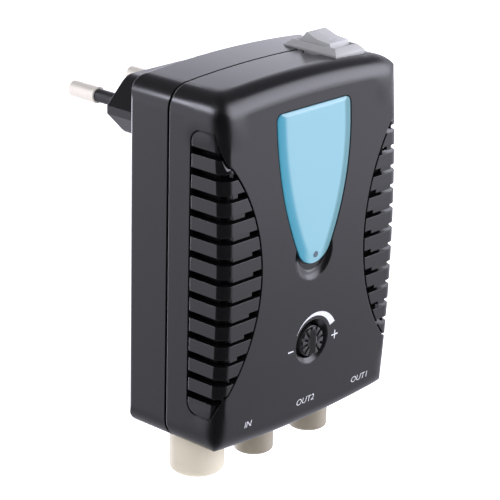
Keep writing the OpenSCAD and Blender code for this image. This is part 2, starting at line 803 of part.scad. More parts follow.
// Rear half of the case, with the plug boss
module rear_housing() {
    inner_end = -boss_end_t;
    tongue_x = body_w / 2 - wall;
    tongue_l = 1.5;
    tongue_t = 1;
    color(charcoal)
        difference() {
            union() {
                difference() {
                    rear_form(0);
                    rear_form(wall);
                }
                along_y(back_y - wall / 2, 0) boss_outline(0);
                intersection() {
                    rear_form(wall / 2);
                    for (p = case_spots)
                        translate([p[0], 0, p[1]]) bar_y(case_post_d, part_y, back_y);
                }
                conn_seats(part_y, conn_axis_y + flange_d / 2);
                for (s = [-1, 1])
                    translate([s * (tongue_x - fit_gap - tongue_t / 2), 0, mid_z]) {
                        along_y(part_y - tongue_l, part_y + slack)
                            square([tongue_t, body_h / 2], center = true);
                        along_y(part_y, part_y + slack)
                            square([tongue_t + 4 * fit_gap, body_h / 2], center = true);
                    }
            }
            along_y(back_y - 2 * wall, inner_end) boss_outline(boss_wall);
            for (s = [-1, 1])
                translate([s * pin_pitch / 2, 0, 0]) bar_y(sleeve_d + fit_gap, inner_end - eps, eps);
            for (p = case_spots)
                translate([p[0], 0, p[1]]) {
                    bar_y(case_screw_d + 2 * fit_gap, part_y - eps, case_head_y + eps);
                    bar_y(screw_head_d + 4 * fit_gap, case_head_y, back_y + eps);
                }
            shared_openings();
        }
}

// Pale window on the front
module front_lens() {
    color(sky, 0.8)
        difference() {
            intersection() {
                along_y(front_y - slack, front_y + slack) lens_outline(0);
                front_sweep(-lens_proud);
            }
            front_sweep(lens_t - lens_proud);
            translate([0, 0, pipe_z]) bar_y(pipe_d + fit_gap, front_y - slack, front_y + slack);
        }
}

// Bar that carries the status light to the front
module light_pipe() {
    flare_t = 0.8;
    back = front_at(pipe_z) + wall + flare_t;
    color(black)
        translate([0, 0, pipe_z]) {
            bar_y(pipe_d, front_at(pipe_z) - lens_proud, back);
            bar_y(led_d, back - flare_t + fit_gap, back);
        }
}

// Status light on the board
module status_led() {
    rim_t = 0.8;
    leg = 0.5;
    tip = front_at(pipe_z) + wall + 0.9;
    color(white)
        translate([0, 0, pipe_z]) {
            bar_y(led_d, tip, tip + led_l);
            bar_y(led_d + rim_t, tip + led_l - rim_t, tip + led_l);
            for (s = [-1, 1])
                translate([s * led_d / 4, 0, 0]) bar_y(leg, tip + led_l - eps, board_front);
        }
}

// Gain knob with its grip ridge and shaft
module gain_knob() {
    r = knob_d / 2;
    reach = 0.8 * r;
    color(charcoal)
        translate([knob_x, 0, knob_z]) {
            difference() {
                bar_y(knob_d, knob_face_y, knob_back_y);
                for (i = [0 : serrations - 1])
                    rotate([0, (i + 0.5) * 360 / serrations, 0])
                        translate([0.55 * r, knob_face_y - eps, -serration_depth / 2])
                            cube([r, serration_depth + eps, serration_depth]);
            }
            translate([0, 0, -reach])
                linear_extrude(2 * reach)
                    polygon([[-0.6 * grip_w, knob_face_y + eps], [0.1 * grip_w, knob_face_y - grip_h],
                             [0.4 * grip_w, knob_face_y + eps]]);
            bar_y(shaft_d, knob_back_y - eps, board_front - fit_gap);
        }
}

// Variable resistor that the knob turns
module gain_pot() {
    color("royalblue")
        translate([knob_x, 0, knob_z])
            difference() {
                box([-pot_w / 2, pot_y, -pot_w / 2], [pot_w / 2, board_front, pot_w / 2]);
                bar_y(shaft_d + 2 * shaft_gap, pot_y - eps, board_front + eps);
            }
}

// The bezel's section, from its half-widths at the edge and at the rim
module bezel_section(edge, rim) {
    polygon([[-edge, bezel_low_z], [edge, bezel_low_z], [edge, bezel_top_z], [rim, rim_z],
             [-rim, rim_z], [-edge, bezel_top_z]]);
}

// Bezel, body and well of the rocker switch
module switch_housing() {
    color(pale_grey)
        translate([switch_x, switch_mid_y, 0])
            difference() {
                union() {
                    intersection() {
                        along_y(-bezel_l / 2, bezel_l / 2) bezel_section(bezel_w / 2, well_w / 2 + rim_land);
                        along_x(-bezel_w / 2, bezel_w / 2) bezel_section(bezel_l / 2, well_l / 2 + rim_land);
                    }
                    box([-switch_w / 2, -switch_l / 2, switch_low_z],
                        [switch_w / 2, switch_l / 2, bezel_low_z + eps]);
                }
                box([-well_w / 2, -well_l / 2, switch_low_z + 2 * switch_wall],
                    [well_w / 2, well_l / 2, rim_z + slack]);
                translate([-switch_w / 2 - fit_gap, 0, pivot_z])
                    rotate([0, 90, 0])
                        cylinder(d = rocker_pin_d + 2 * rocker_pin_gap, h = switch_w + 2 * fit_gap);
                for (y = [0, rear_y])
                    box([-blade_w / 2, y - blade_t / 2 - fit_gap, switch_low_z - slack],
                        [blade_w / 2, y + blade_t / 2 + fit_gap, switch_low_z + slack]);
            }
}

// Places children at the rocker's pins, tipped to its rest
module at_rocker() {
    translate([switch_x, switch_mid_y, pivot_z])
        rotate([rock_a, 0, 0]) children();
}

// Rocker, with the front end down
module switch_rocker() {
    foot = 0.6 * rocker_half;
    color(pale_grey)
        at_rocker()
            difference() {
                union() {
                    along_x(-rocker_w / 2, rocker_w / 2)
                        polygon([[-rocker_top, rocker_end], [-rocker_half, rocker_brow], [-rocker_half, -1],
                                 [-foot, -rocker_skirt], [foot, -rocker_skirt], [rocker_half, -1],
                                 [rocker_half, rocker_brow], [rocker_top, rocker_end], [0, rocker_mid]]);
                    translate([-switch_w / 2 + fit_gap, 0, 0])
                        rotate([0, 90, 0]) cylinder(d = rocker_pin_d, h = switch_w - 2 * fit_gap);
                }
                translate([0, 0, -rocker_skirt - eps])
                    cylinder(d = plunger_d + 2 * fit_gap, h = rocker_skirt - rocker_pin_d / 2);
            }
}

// Plunger in the foot of the rocker
module switch_plunger() {
    color("silver")
        at_rocker()
            translate([0, 0, -plunger_reach]) {
                translate([0, 0, plunger_d / 2])
                    cylinder(d = plunger_d, h = plunger_reach - (plunger_d + rocker_pin_d) / 2 - spring_l);
                translate([0, 0, plunger_d / 2]) sphere(d = plunger_d);
            }
}

// Spring above the plunger
module switch_spring() {
    coils = 4;
    steps = 12;
    thick = 0.25;
    high = -rocker_pin_d / 2 - thick / 2 - 2 * eps;
    low = high - spring_l + thick + 4 * eps;
    round = (plunger_d - thick) / 2;
    color("silver")
        at_rocker()
            tube([for (i = [0 : coils * steps])
                [round * cos(360 * i / steps), round * sin(360 * i / steps),
                 low + (high - low) * i / (coils * steps)]], thick / 2, 6);
}

// Contact strip under the rear of the rocker, which it carries
module switch_contact() {
    foot = 0.6 * rocker_half;
    heel = contact_y - blade_t / 2;
    toe = contact_y + blade_t;
    low = -contact_reach;
    color(copper)
        at_rocker()
            along_x(-blade_w / 2, blade_w / 2)
                polygon([[foot / 2, -rocker_skirt], [foot / 2, -rocker_skirt - blade_t],
                         [foot - blade_t, -rocker_skirt - blade_t], [heel - blade_t, low],
                         [toe, low], [toe, low + blade_t], [heel, low + blade_t], [foot, -rocker_skirt]]);
}

// Middle terminal, which the plunger slides over
module switch_middle_terminal() {
    color(copper)
        translate([switch_x, switch_mid_y, 0])
            box([-blade_w / 2, -blade_t / 2, blade_low_z], [blade_w / 2, blade_t / 2, saddle_z]);
}

// Rear terminal, which the contact strip closes on
module switch_rear_terminal() {
    color(copper)
        translate([switch_x, switch_mid_y + rear_y, 0])
            box([-blade_w / 2, -blade_t / 2, blade_low_z], [blade_w / 2, blade_t / 2, closed_z]);
}

// Half section of a connector shell: a rounded tube with a neck and a flange inside the case
module shell_section(outer, inner, end_z, edge) {
    tube_w = (outer - inner) / 2;
    translate([inner / 2, end_z + edge]) square([tube_w, neck_z - end_z - edge]);
    intersection() {
        translate([inner / 2, end_z]) square([tube_w, 2 * edge]);
        union() {
            translate([inner / 2, end_z]) square([max(tube_w - edge, eps), 2 * edge]);
            translate([outer / 2 - edge, end_z + edge]) circle(r = edge);
        }
    }
    translate([inner / 2, neck_z - eps]) square([tube_w - neck_depth, seat_z - neck_z + 2 * eps]);
    translate([inner / 2, seat_z]) square([(flange_d - inner) / 2, flange_t]);
    translate([inner / 2, seat_z]) square([conn_body_wall, conn_body_h]);
}

module conn_shell(x, outer, inner, end_z, edge) {
    color(nickel)
        translate([x, conn_axis_y, 0])
            rotate_extrude() shell_section(outer, inner, end_z, edge);
}

// Insulating plug inside a connector shell
module conn_insulator(x, inner, hole) {
    color(white)
        translate([x, conn_axis_y, seat_z])
            difference() {
                cylinder(d = inner - 2 * fit_gap, h = conn_body_h);
                translate([0, 0, -eps]) cylinder(d = hole + 2 * fit_gap, h = conn_body_h + 2 * eps);
            }
}

// Lead that turns from a centre contact into the board
module conn_lead() {
    translate([0, 0, conn_top_z - eps]) cylinder(d = lead_d, h = lead_z - conn_top_z + eps);
    translate([0, 0, lead_z]) sphere(d = lead_d);
    translate([0, 0, lead_z]) bar_y(lead_d, board_front - conn_axis_y, 0);
}

module input_shell() {
    conn_shell(conn_x[0], input_d, input_bore, input_end_z, input_edge);
}

module output_1_shell() {
    conn_shell(conn_x[1], output_d, output_d - 2 * output_wall, conn_end_z, conn_edge);
}

module output_2_shell() {
    conn_shell(conn_x[2], output_d, output_d - 2 * output_wall, conn_end_z, conn_edge);
}

module input_insulator() {
    conn_insulator(conn_x[0], input_bore, contact_d);
}

module output_1_insulator() {
    conn_insulator(conn_x[1], output_d - 2 * output_wall, output_pin_d);
}

module output_2_insulator() {
    conn_insulator(conn_x[2], output_d - 2 * output_wall, output_pin_d);
}

// Springy socket in the middle of the input
module input_contact() {
    low = input_end_z + contact_back;
    color(nickel)
        translate([conn_x[0], conn_axis_y, 0]) {
            difference() {
                translate([0, 0, low]) cylinder(d = contact_d, h = conn_top_z - low);
                translate([0, 0, low - eps]) cylinder(d = contact_bore, h = contact_l + eps);
            }
            conn_lead();
        }
}

// Round-nosed pin in the middle of an output
module output_pin(x) {
    low = conn_end_z + contact_back;
    color(nickel)
        translate([x, conn_axis_y, 0]) {
            translate([0, 0, low + output_pin_d / 2])
                cylinder(d = output_pin_d, h = conn_top_z - low - output_pin_d / 2);
            translate([0, 0, low + output_pin_d / 2]) sphere(d = output_pin_d);
            conn_lead();
        }
}

module output_1_pin() {
    output_pin(conn_x[1]);
}

module output_2_pin() {
    output_pin(conn_x[2]);
}

// Mains pin, on side s
module plug_pin(s) {
    end = sleeve_l + pin_tip_l;
    color("silver")
        translate([s * pin_pitch / 2, 0, 0]) {
            bar_y(pin_core_d, -pin_tail_l, sleeve_l + eps);
            bar_y(pin_d, sleeve_l, end - pin_nose);
            translate([0, end - pin_nose, 0])
                rotate([-90, 0, 0])
                    rotate_extrude() {
                        square([pin_d / 2 - pin_nose, pin_nose]);
                        translate([pin_d / 2 - pin_nose, 0])
                            intersection() {
                                circle(r = pin_nose);
                                square([pin_nose, pin_nose]);
                            }
                    }
        }
}

module plug_pin_left() {
    plug_pin(-1);
}

module plug_pin_right() {
    plug_pin(1);
}

// Insulating sleeve round a pin, on side s
module pin_sleeve(s) {
    color(black)
        translate([s * pin_pitch / 2, 0, 0])
            difference() {
                bar_y(sleeve_d, -boss_end_t, sleeve_l);
                bar_y(pin_core_d + fit_gap, -boss_end_t - eps, sleeve_l + eps);
            }
}

module pin_sleeve_left() {
    pin_sleeve(-1);
}

module pin_sleeve_right() {
    pin_sleeve(1);
}

// Plate inside the boss that holds the pins
module pin_clamp() {
    color(white)
        difference() {
            along_y(-boss_end_t - clamp_t, -boss_end_t) boss_outline(boss_wall + fit_gap);
            for (s = [-1, 1])
                translate([s * pin_pitch / 2, 0, 0])
                    bar_y(pin_core_d + fit_gap, -boss_end_t - clamp_t - eps, -boss_end_t + eps);
        }
}

// Circuit board
module circuit_board() {
    color(green)
        difference() {
            box([-board_w / 2, board_front, board_low_z], [board_w / 2, board_back, board_top_z]);
            for (p = post_spots)
                translate([p[0], 0, p[1]])
                    bar_y(board_screw_d + 2 * fit_gap, board_front - eps, board_back + eps);
            for (x = conn_x)
                translate([x, 0, lead_z]) bar_y(lead_d + fit_gap, board_front - eps, board_back + eps);
        }
}

// Screening can round the high-frequency stage
module shield_can() {
    z0 = board_low_z + can_rise;
    color(nickel)
        difference() {
            box([-can_w / 2, board_back, z0], [can_w / 2, board_back + can_d, z0 + can_h]);
            box([-can_w / 2 + can_t, board_back - eps, z0 + can_t],
                [can_w / 2 - can_t, board_back + can_d + eps, z0 + can_h - can_t]);
        }
}

// Lid of the screening can
module shield_lid() {
    z0 = board_low_z + can_rise;
    color(nickel)
        box([-can_w / 2, board_back + can_d, z0], [can_w / 2, board_back + can_d + can_t, z0 + can_h]);
}

// Transformer core: a frame with a middle limb
module transformer_core() {
    y0 = board_back + (winding_d - core_d) / 2;
    color(black)
        translate([0, 0, core_z])
            difference() {
                box([-core_w / 2, y0, -core_h / 2], [core_w / 2, y0 + core_d, core_h / 2]);
                for (s = [-1, 1])
                    translate([s * (core_w - core_limb) / 4, 0, 0])
                        box([-(core_w - 3 * core_limb) / 4, y0 - eps, core_limb / 2 - core_h / 2],
                            [(core_w - 3 * core_limb) / 4, y0 + core_d + eps, core_h / 2 - core_limb / 2]);
            }
}

// Bobbin and winding round the core's middle limb
module transformer_winding() {
    y0 = board_back + (winding_d - core_d) / 2;
    half_w = (core_w - core_limb) / 2 - core_limb / 2 - fit_gap;
    half_h = (core_h - core_limb) / 2 - fit_gap;
    color("goldenrod")
        translate([0, 0, core_z])
            difference() {
                box([-half_w, board_back, -half_h], [half_w, board_back + winding_d, half_h]);
                box([-core_limb / 2 - fit_gap, y0, -core_h], [core_limb / 2 + fit_gap, y0 + core_d, core_h]);
            }
}

// A round capacitor standing on the back of the board
module capacitor(x, z, d, l) {
    groove = 0.4;
    color("midnightblue")
        translate([x, 0, z])
            difference() {
                bar_y(d, board_back, board_back + l);
                difference() {
                    bar_y(d + slack, board_back + 1, board_back + 1 + 2 * groove);
                    bar_y(d - 2 * groove, board_back, board_back + l);
                }
            }
}

module mains_capacitor() {
    capacitor(-cap_x, core_z + mains_cap_d / 2, mains_cap_d, mains_cap_l);
}

module output_capacitor() {
    capacitor(-cap_x, core_z - output_cap_d / 2 - part_gap, output_cap_d, output_cap_l);
}

// Four diodes lying across the back of the board, on bent leads
module rectifier_diodes() {
    lead = 0.6;
    span = diode_l + 2 * diode_lead;
    color(black)
        for (i = [0 : 3])
            translate([diode_x, board_back + diode_d / 2, board_top_z - diode_drop - i * diode_pitch]) {
                translate([-diode_l / 2, 0, 0]) rotate([0, 90, 0]) cylinder(d = diode_d, h = diode_l);
                translate([-span / 2, 0, 0]) rotate([0, 90, 0]) cylinder(d = lead, h = span);
                for (s = [-1, 1])
                    translate([s * (span - lead) / 2, 0, 0]) bar_y(lead, -diode_d / 2, lead / 2);
            }
}

// Voltage regulator flat on the back of the board
module regulator() {
    z = board_low_z + can_rise + can_h + part_gap + regulator_w / 2;
    color(black)
        translate([diode_x, 0, z])
            box([-regulator_w / 2, board_back, -regulator_w / 2],
                [regulator_w / 2, board_back + regulator_t, regulator_w / 2]);
}

// A bent wire from a to b, with a short straight stub at each end
module wire(a, da, b, db) {
    steps = 14;
    stub = wire_d / 2;
    a1 = a + stub * unit(da);
    b1 = b + stub * unit(db);
    tube(concat([a], [for (i = [0 : steps]) bend(a1, da, b1, db, i / steps)], [b]), stub, 8);
}

// Wire from the right pin to the switch
module live_wire() {
    color("brown")
        wire([pin_pitch / 2, -pin_tail_l, 0], [0, -wire_lead, 0],
             [switch_x, live_y, blade_low_z + wire_d / 2], [0, live_lead, 0]);
}

// Wire from the left pin to the board
module neutral_wire() {
    color("royalblue")
        wire([-pin_pitch / 2, -pin_tail_l, 0], [0, -wire_lead, 0],
             [-cap_x, board_back, board_top_z - wire_d], [0, wire_lead, 0]);
}

// Wire from the switch to the board
module switch_wire() {
    color("brown")
        wire([switch_x, switch_mid_y - blade_t / 2, blade_low_z + wire_d / 2], [0, -wire_lead / 2, 0],
             [switch_x, board_front, board_top_z - 4 * wire_d], [0, -wire_lead / 2, 0]);
}

// A cross-head screw with its head's face at the origin, pointing along -Y
module screw(d, l) {
    cross_w = 0.7;
    difference() {
        union() {
            bar_y(d, -l, eps);
            bar_y(screw_head_d, 0, screw_head_t);
        }
        for (a = [0, 90])
            rotate([0, a, 0])
                box([-screw_head_d / 3, screw_head_t / 2, -cross_w / 2],
                    [screw_head_d / 3, 2 * screw_head_t, cross_w / 2]);
    }
}

module case_screws() {
    color("silver")
        for (p = case_spots)
            translate([p[0], case_head_y, p[1]]) screw(case_screw_d, case_screw_l);
}

module board_screws() {
    color("silver")
        for (p = post_spots)
            translate([p[0], board_back, p[1]]) screw(board_screw_d, board_screw_l);
}

rear_housing();
front_cover();
front_lens();
light_pipe();
status_led();
gain_knob();
gain_pot();
switch_housing();
switch_rocker();
switch_plunger();
switch_spring();
switch_contact();
switch_middle_terminal();
switch_rear_terminal();
input_shell();
input_insulator();
input_contact();
output_1_shell();
output_1_insulator();
output_1_pin();
output_2_shell();
output_2_insulator();
output_2_pin();
plug_pin_left();
plug_pin_right();
pin_sleeve_left();
pin_sleeve_right();
pin_clamp();
circuit_board();
shield_can();
shield_lid();
transformer_core();
transformer_winding();
mains_capacitor();
output_capacitor();
rectifier_diodes();
regulator();
live_wire();
neutral_wire();
switch_wire();
case_screws();
board_screws();
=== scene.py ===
import math
import bpy
import bmesh
from mathutils import Matrix, Vector


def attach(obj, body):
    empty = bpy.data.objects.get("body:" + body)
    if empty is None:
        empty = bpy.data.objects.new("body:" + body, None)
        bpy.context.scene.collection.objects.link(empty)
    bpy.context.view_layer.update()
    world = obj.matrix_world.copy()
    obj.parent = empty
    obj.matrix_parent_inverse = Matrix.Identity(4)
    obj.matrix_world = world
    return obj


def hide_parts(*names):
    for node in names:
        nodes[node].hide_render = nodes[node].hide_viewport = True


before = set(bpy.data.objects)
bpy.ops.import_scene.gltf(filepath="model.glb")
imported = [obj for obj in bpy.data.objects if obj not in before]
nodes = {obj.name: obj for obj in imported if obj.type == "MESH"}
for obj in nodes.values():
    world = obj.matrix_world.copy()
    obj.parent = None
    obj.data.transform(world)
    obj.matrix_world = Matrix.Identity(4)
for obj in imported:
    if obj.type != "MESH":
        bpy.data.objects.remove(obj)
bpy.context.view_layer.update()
scene = bpy.context.scene
mm = 0.001
print("frame loaded:", len(nodes), "nodes")

# the case's main lines, in millimetres, as the solids have them
caseForm = {
    "halfWidth": 29.5, "top": 14.4, "bottom": -68.4, "front": -50.4, "wall": 2.0,
    "bowRise": 2.0, "crown": 1.5, "uprightEdge": 2.8,
    "panelMiddle": -26.2, "panelInner": 17.2, "panelArc": 42.0,
    "slotCount": 13, "slotPitch": 4.75, "slotHeight": 1.7,
}


def arcRadius(half, rise):  # of an arc, from half its chord and its rise
    return (half ** 2 + rise ** 2) / (2 * rise)


midZ = (caseForm["top"] + caseForm["bottom"]) / 2
bowRadius = arcRadius((caseForm["top"] - caseForm["bottom"]) / 2, caseForm["bowRise"])
bowCentre = caseForm["front"] + bowRadius
crownRadius = arcRadius(caseForm["halfWidth"], caseForm["crown"])
lowestZ = caseForm["bottom"] - caseForm["crown"]


def frontAt(z):  # the bowed front's depth at a height
    return bowCentre - math.sqrt(bowRadius ** 2 - (z - midZ) ** 2)


def bottomAt(x):  # the crowned bottom's height across the case
    return lowestZ + crownRadius - math.sqrt(crownRadius ** 2 - x ** 2)


class Wire:  # one socket, with sums written as plain expressions
    def __init__(self, book, socket):
        self.book = book
        self.socket = socket

    def maths(self, operation, first, second=0.0):
        return self.book.add("ShaderNodeMath", {"operation": operation}, {0: first, 1: second})

    def __add__(self, other):
        return self.maths("ADD", self, other)

    def __radd__(self, other):
        return self.maths("ADD", other, self)

    def __sub__(self, other):
        return self.maths("SUBTRACT", self, other)

    def __rsub__(self, other):
        return self.maths("SUBTRACT", other, self)

    def __mul__(self, other):
        return self.maths("MULTIPLY", self, other)

    def __rmul__(self, other):
        return self.maths("MULTIPLY", other, self)

    def __pow__(self, other):
        return self.maths("POWER", self, other)


class NodeBook:  # a node tree that is filled one call at a time
    def __init__(self, tree):
        self.tree = tree

    def add(self, kind, settings=None, inputs=None, out=0):
        node = self.tree.nodes.new(kind)
        for key, value in (settings or {}).items():
            if key == "stops":
                self.setRamp(node.color_ramp.elements, value)
            else:
                setattr(node, key, value)
        for key, value in (inputs or {}).items():
            self.put(node.inputs[key], value)
        return Wire(self, node.outputs[out])

    def setRamp(self, elements, stops):
        for place, tone in stops[len(elements):]:
            elements.new(place)
        for element, (place, tone) in zip(elements, stops):
            element.position = place
            element.color = tone

    def put(self, socket, value):
        if isinstance(value, Wire):
            self.tree.links.new(value.socket, socket)
        else:
            socket.default_value = value

    def mix(self, factor, first, second):  # colours
        return self.add("ShaderNodeMix", {"data_type": "RGBA"}, {0: factor, 6: first, 7: second}, 2)

    def smooth(self, value, low, high):  # 0 to 1 between two values
        settings = {"interpolation_type": "SMOOTHSTEP"}
        return self.add("ShaderNodeMapRange", settings, {0: value, 1: low, 2: high, 3: 0.0, 4: 1.0})

    def dot(self, first, second):
        settings = {"operation": "DOT_PRODUCT"}
        return self.add("ShaderNodeVectorMath", settings, {0: first, 1: second}, 1)

    def part(self, vector, axis):  # one of its x, y and z
        return self.add("ShaderNodeSeparateXYZ", None, {0: vector}, "xyz".index(axis))


def colour(red, green, blue):
    return (red, green, blue, 1.0)


class Finish(NodeBook):  # a material on Object coordinates
    def __init__(self, name):
        self.material = bpy.data.materials.new(name)
        self.material.use_nodes = True
        super().__init__(self.material.node_tree)
        self.shader = self.tree.nodes["Principled BSDF"]
        self.place = self.add("ShaderNodeTexCoord", out=3)

    def noise(self, scale, detail, stretch=None):
        place = self.place
        if stretch:
            place = self.add("ShaderNodeMapping", None, {0: place, 3: stretch})
        return self.add("ShaderNodeTexNoise", None, {"Vector": place, "Scale": scale, "Detail": detail})

    def bump(self, strength, depth, height, normal=None):
        inputs = {"Strength": strength, "Distance": depth, "Height": height}
        if normal:
            inputs["Normal"] = normal
        return self.add("ShaderNodeBump", None, inputs)

    def fix(self, label, value):  # a constant
        self.shader.inputs[label].default_value = value

    def surface(self, **values):
        names = {"base": "Base Color", "rough": "Roughness", "normal": "Normal", "coat": "Coat Weight"}
        for key, value in values.items():
            self.put(self.shader.inputs[names[key]], value)
        return self.material


def vary(noise, spread):  # a noise about nought
    return spread * (noise - 0.5)


# what all finishes of a kind share
plasticKind = {"cloudDetail": 3.0, "grainDetail": 2.0, "edgeSamples": 6, "cornerSamples": 12,
               "rim": (0.02, 0.3), "bumpDepth": 0.00002, "cloudRough": 0.07, "grainRough": 0.05}
metalKind = {"cloudDetail": 3.0, "ringDetail": 2.0, "bumpDepth": 0.00002, "ringRough": 0.12,
             "cloudRough": 0.08, "metal": 1.0, "specular": 0.5}
coatKind = {"cloudDetail": 4.0, "tones": (0.3, 0.7), "bumpDepth": 0.00003, "cloudRough": 0.1}


def cornerNormal(f, rounded, corner):  # a wider rounding where three rounded edges meet
    def within(value, limits):
        return f.smooth(value, *[limit * mm for limit in limits])

    side, depth, height = [f.part(f.place, axis) for axis in "xyz"]
    mask = within(side.maths("ABSOLUTE", side), corner["across"])
    mask = mask * within(-1 * depth, corner["forward"])
    mask = mask * within(side.maths("ABSOLUTE", height - midZ * mm), corner["upright"])
    settings = {"samples": plasticKind["cornerSamples"]}
    wide = f.add("ShaderNodeBevel", settings, {"Radius": corner["radius"] * mm})
    both = f.add("ShaderNodeMix", {"data_type": "VECTOR"}, {0: mask, 4: rounded, 5: wide}, 1)
    return f.add("ShaderNodeVectorMath", {"operation": "NORMALIZE"}, {0: both})


def plasticFinish(name, look):
    f = Finish(name)
    kind = plasticKind
    cloud = f.noise(look["cloud"], kind["cloudDetail"])
    grain = f.noise(look["grain"], kind["grainDetail"])
    rounded = f.add("ShaderNodeBevel", {"samples": kind["edgeSamples"]}, {"Radius": look["edge"] * mm})
    if "corner" in look:
        rounded = cornerNormal(f, rounded, look["corner"])
    flat = f.add("ShaderNodeNewGeometry", out=1)
    rim = f.smooth(1 - f.dot(rounded, flat), *kind["rim"])  # edges, made a little paler
    base = f.mix(cloud, colour(*look["dark"]), colour(*look["light"]))
    base = f.mix(rim * look["edgeShare"], base, colour(*look["edgeTone"]))
    rough = look["rough"] + vary(cloud, kind["cloudRough"]) + vary(grain, kind["grainRough"])
    bump = f.bump(look["bump"], kind["bumpDepth"], grain, rounded)
    return f.surface(base=base, rough=rough, normal=bump)


def metalFinish(name, look):
    f = Finish(name)
    kind = metalKind
    cloud = f.noise(look["cloud"], kind["cloudDetail"])
    rings = f.noise(1.0, kind["ringDetail"], look["rings"])  # fine turning marks
    base = f.mix(cloud, colour(*look["dark"]), colour(*look["light"]))
    rough = look["rough"] + vary(rings, kind["ringRough"]) + vary(cloud, kind["cloudRough"])
    f.fix("Metallic", look.get("metal", kind["metal"]))
    f.fix("Specular IOR Level", look.get("specular", kind["specular"]))
    return f.surface(base=base, rough=rough, normal=f.bump(look["bump"], kind["bumpDepth"], rings))


def coatedFinish(name, look):  # board, tape, wire, print
    f = Finish(name)
    kind = coatKind
    cloud = f.noise(look["cloud"], kind["cloudDetail"], look.get("stretch"))
    base = f.mix(f.smooth(cloud, *kind["tones"]), colour(*look["dark"]), colour(*look["light"]))
    rough = look["rough"] + vary(cloud, kind["cloudRough"])
    return f.surface(base=base, rough=rough, normal=f.bump(look["bump"], kind["bumpDepth"], cloud))


def windowFinish(name, look):
    f = Finish(name)
    cloud = f.noise(look["cloud"], look["cloudDetail"])
    normal = f.add("ShaderNodeNewGeometry", out=1)
    lean = f.part(normal, "x")
    nearSlopeShade = f.smooth(-1 * lean, *look["slopes"])  # left slope, painted darker as shade
    far = f.smooth(lean, *look["slopes"])  # right slope, painted darker as shade
    wall = f.smooth(f.part(normal, "y"), *look["walls"])  # the edge that goes into the case, painted near black as shade
    # the face keeps its own tone; the slopes and the wall get painted shade by which way they face
    base = f.mix(cloud, colour(*look["face"]), colour(*look["faceLight"]))
    base = f.mix(nearSlopeShade, base, colour(*look["edge"]))
    base = f.mix(far, base, colour(*look["far"]))
    base = f.mix(wall, base, colour(*look["wall"]))
    f.fix("Coat Roughness", look["coatRough"])
    coat = look["coat"] + look["coatCloud"] * cloud
    return f.surface(base=base, rough=look["rough"] + vary(cloud, look["cloudRough"]), coat=coat)


plasticLooks = {
    "caseBlack": {"dark": (0.004, 0.004, 0.0045), "light": (0.006, 0.006, 0.0068),
                  "edgeTone": (0.03, 0.03, 0.033), "edgeShare": 0.3,
                  "cloud": 60.0, "grain": 5200.0, "bump": 0.06, "edge": 0.2, "rough": 0.21,
                  "corner": {"radius": 4.5, "across": (19.0, 23.5), "forward": (36.0, 41.0),
                             "upright": (29.0, 34.0)}},
    "knobBlack": {"dark": (0.018, 0.018, 0.020), "light": (0.030, 0.030, 0.032),
                  "edgeTone": (0.12, 0.12, 0.12), "edgeShare": 0.6,
                  "cloud": 300.0, "grain": 6000.0, "bump": 0.15, "edge": 0.12, "rough": 0.34},
    "switchGrey": {"dark": (0.46, 0.46, 0.47), "light": (0.53, 0.53, 0.54),
                   "edgeTone": (0.7, 0.7, 0.7), "edgeShare": 0.35,
                   "cloud": 150.0, "grain": 5000.0, "bump": 0.12, "edge": 0.15, "rough": 0.40},
    "rockerGrey": {"dark": (0.53, 0.53, 0.54), "light": (0.61, 0.61, 0.62),
                   "edgeTone": (0.75, 0.75, 0.75), "edgeShare": 0.35,
                   "cloud": 150.0, "grain": 5000.0, "bump": 0.12, "edge": 0.15, "rough": 0.40},
    "sleeveBlack": {"dark": (0.010, 0.010, 0.011), "light": (0.016, 0.016, 0.017),
                    "edgeTone": (0.05, 0.05, 0.05), "edgeShare": 0.5,
                    "cloud": 200.0, "grain": 5000.0, "bump": 0.12, "edge": 0.15, "rough": 0.33},
    "insulatorWhite": {"dark": (0.62, 0.60, 0.55), "light": (0.72, 0.70, 0.66),
                       "edgeTone": (0.8, 0.8, 0.76), "edgeShare": 0.3,
                       "cloud": 180.0, "grain": 4000.0, "bump": 0.1, "edge": 0.1, "rough": 0.45},
    "potBlue": {"dark": (0.03, 0.09, 0.30), "light": (0.05, 0.13, 0.38),
                "edgeTone": (0.2, 0.3, 0.5), "edgeShare": 0.3,
                "cloud": 200.0, "grain": 4000.0, "bump": 0.1, "edge": 0.1, "rough": 0.45},
    "chipBlack": {"dark": (0.012, 0.012, 0.012), "light": (0.022, 0.022, 0.022),
                  "edgeTone": (0.06, 0.06, 0.06), "edgeShare": 0.3,
                  "cloud": 200.0, "grain": 5000.0, "bump": 0.2, "edge": 0.1, "rough": 0.55},
    "lightDark": {"dark": (0.045, 0.075, 0.10), "light": (0.08, 0.12, 0.16),
                  "edgeTone": (0.2, 0.26, 0.3), "edgeShare": 0.4,
                  "cloud": 2200.0, "grain": 6000.0, "bump": 0.1, "edge": 0.1, "rough": 0.25},
}
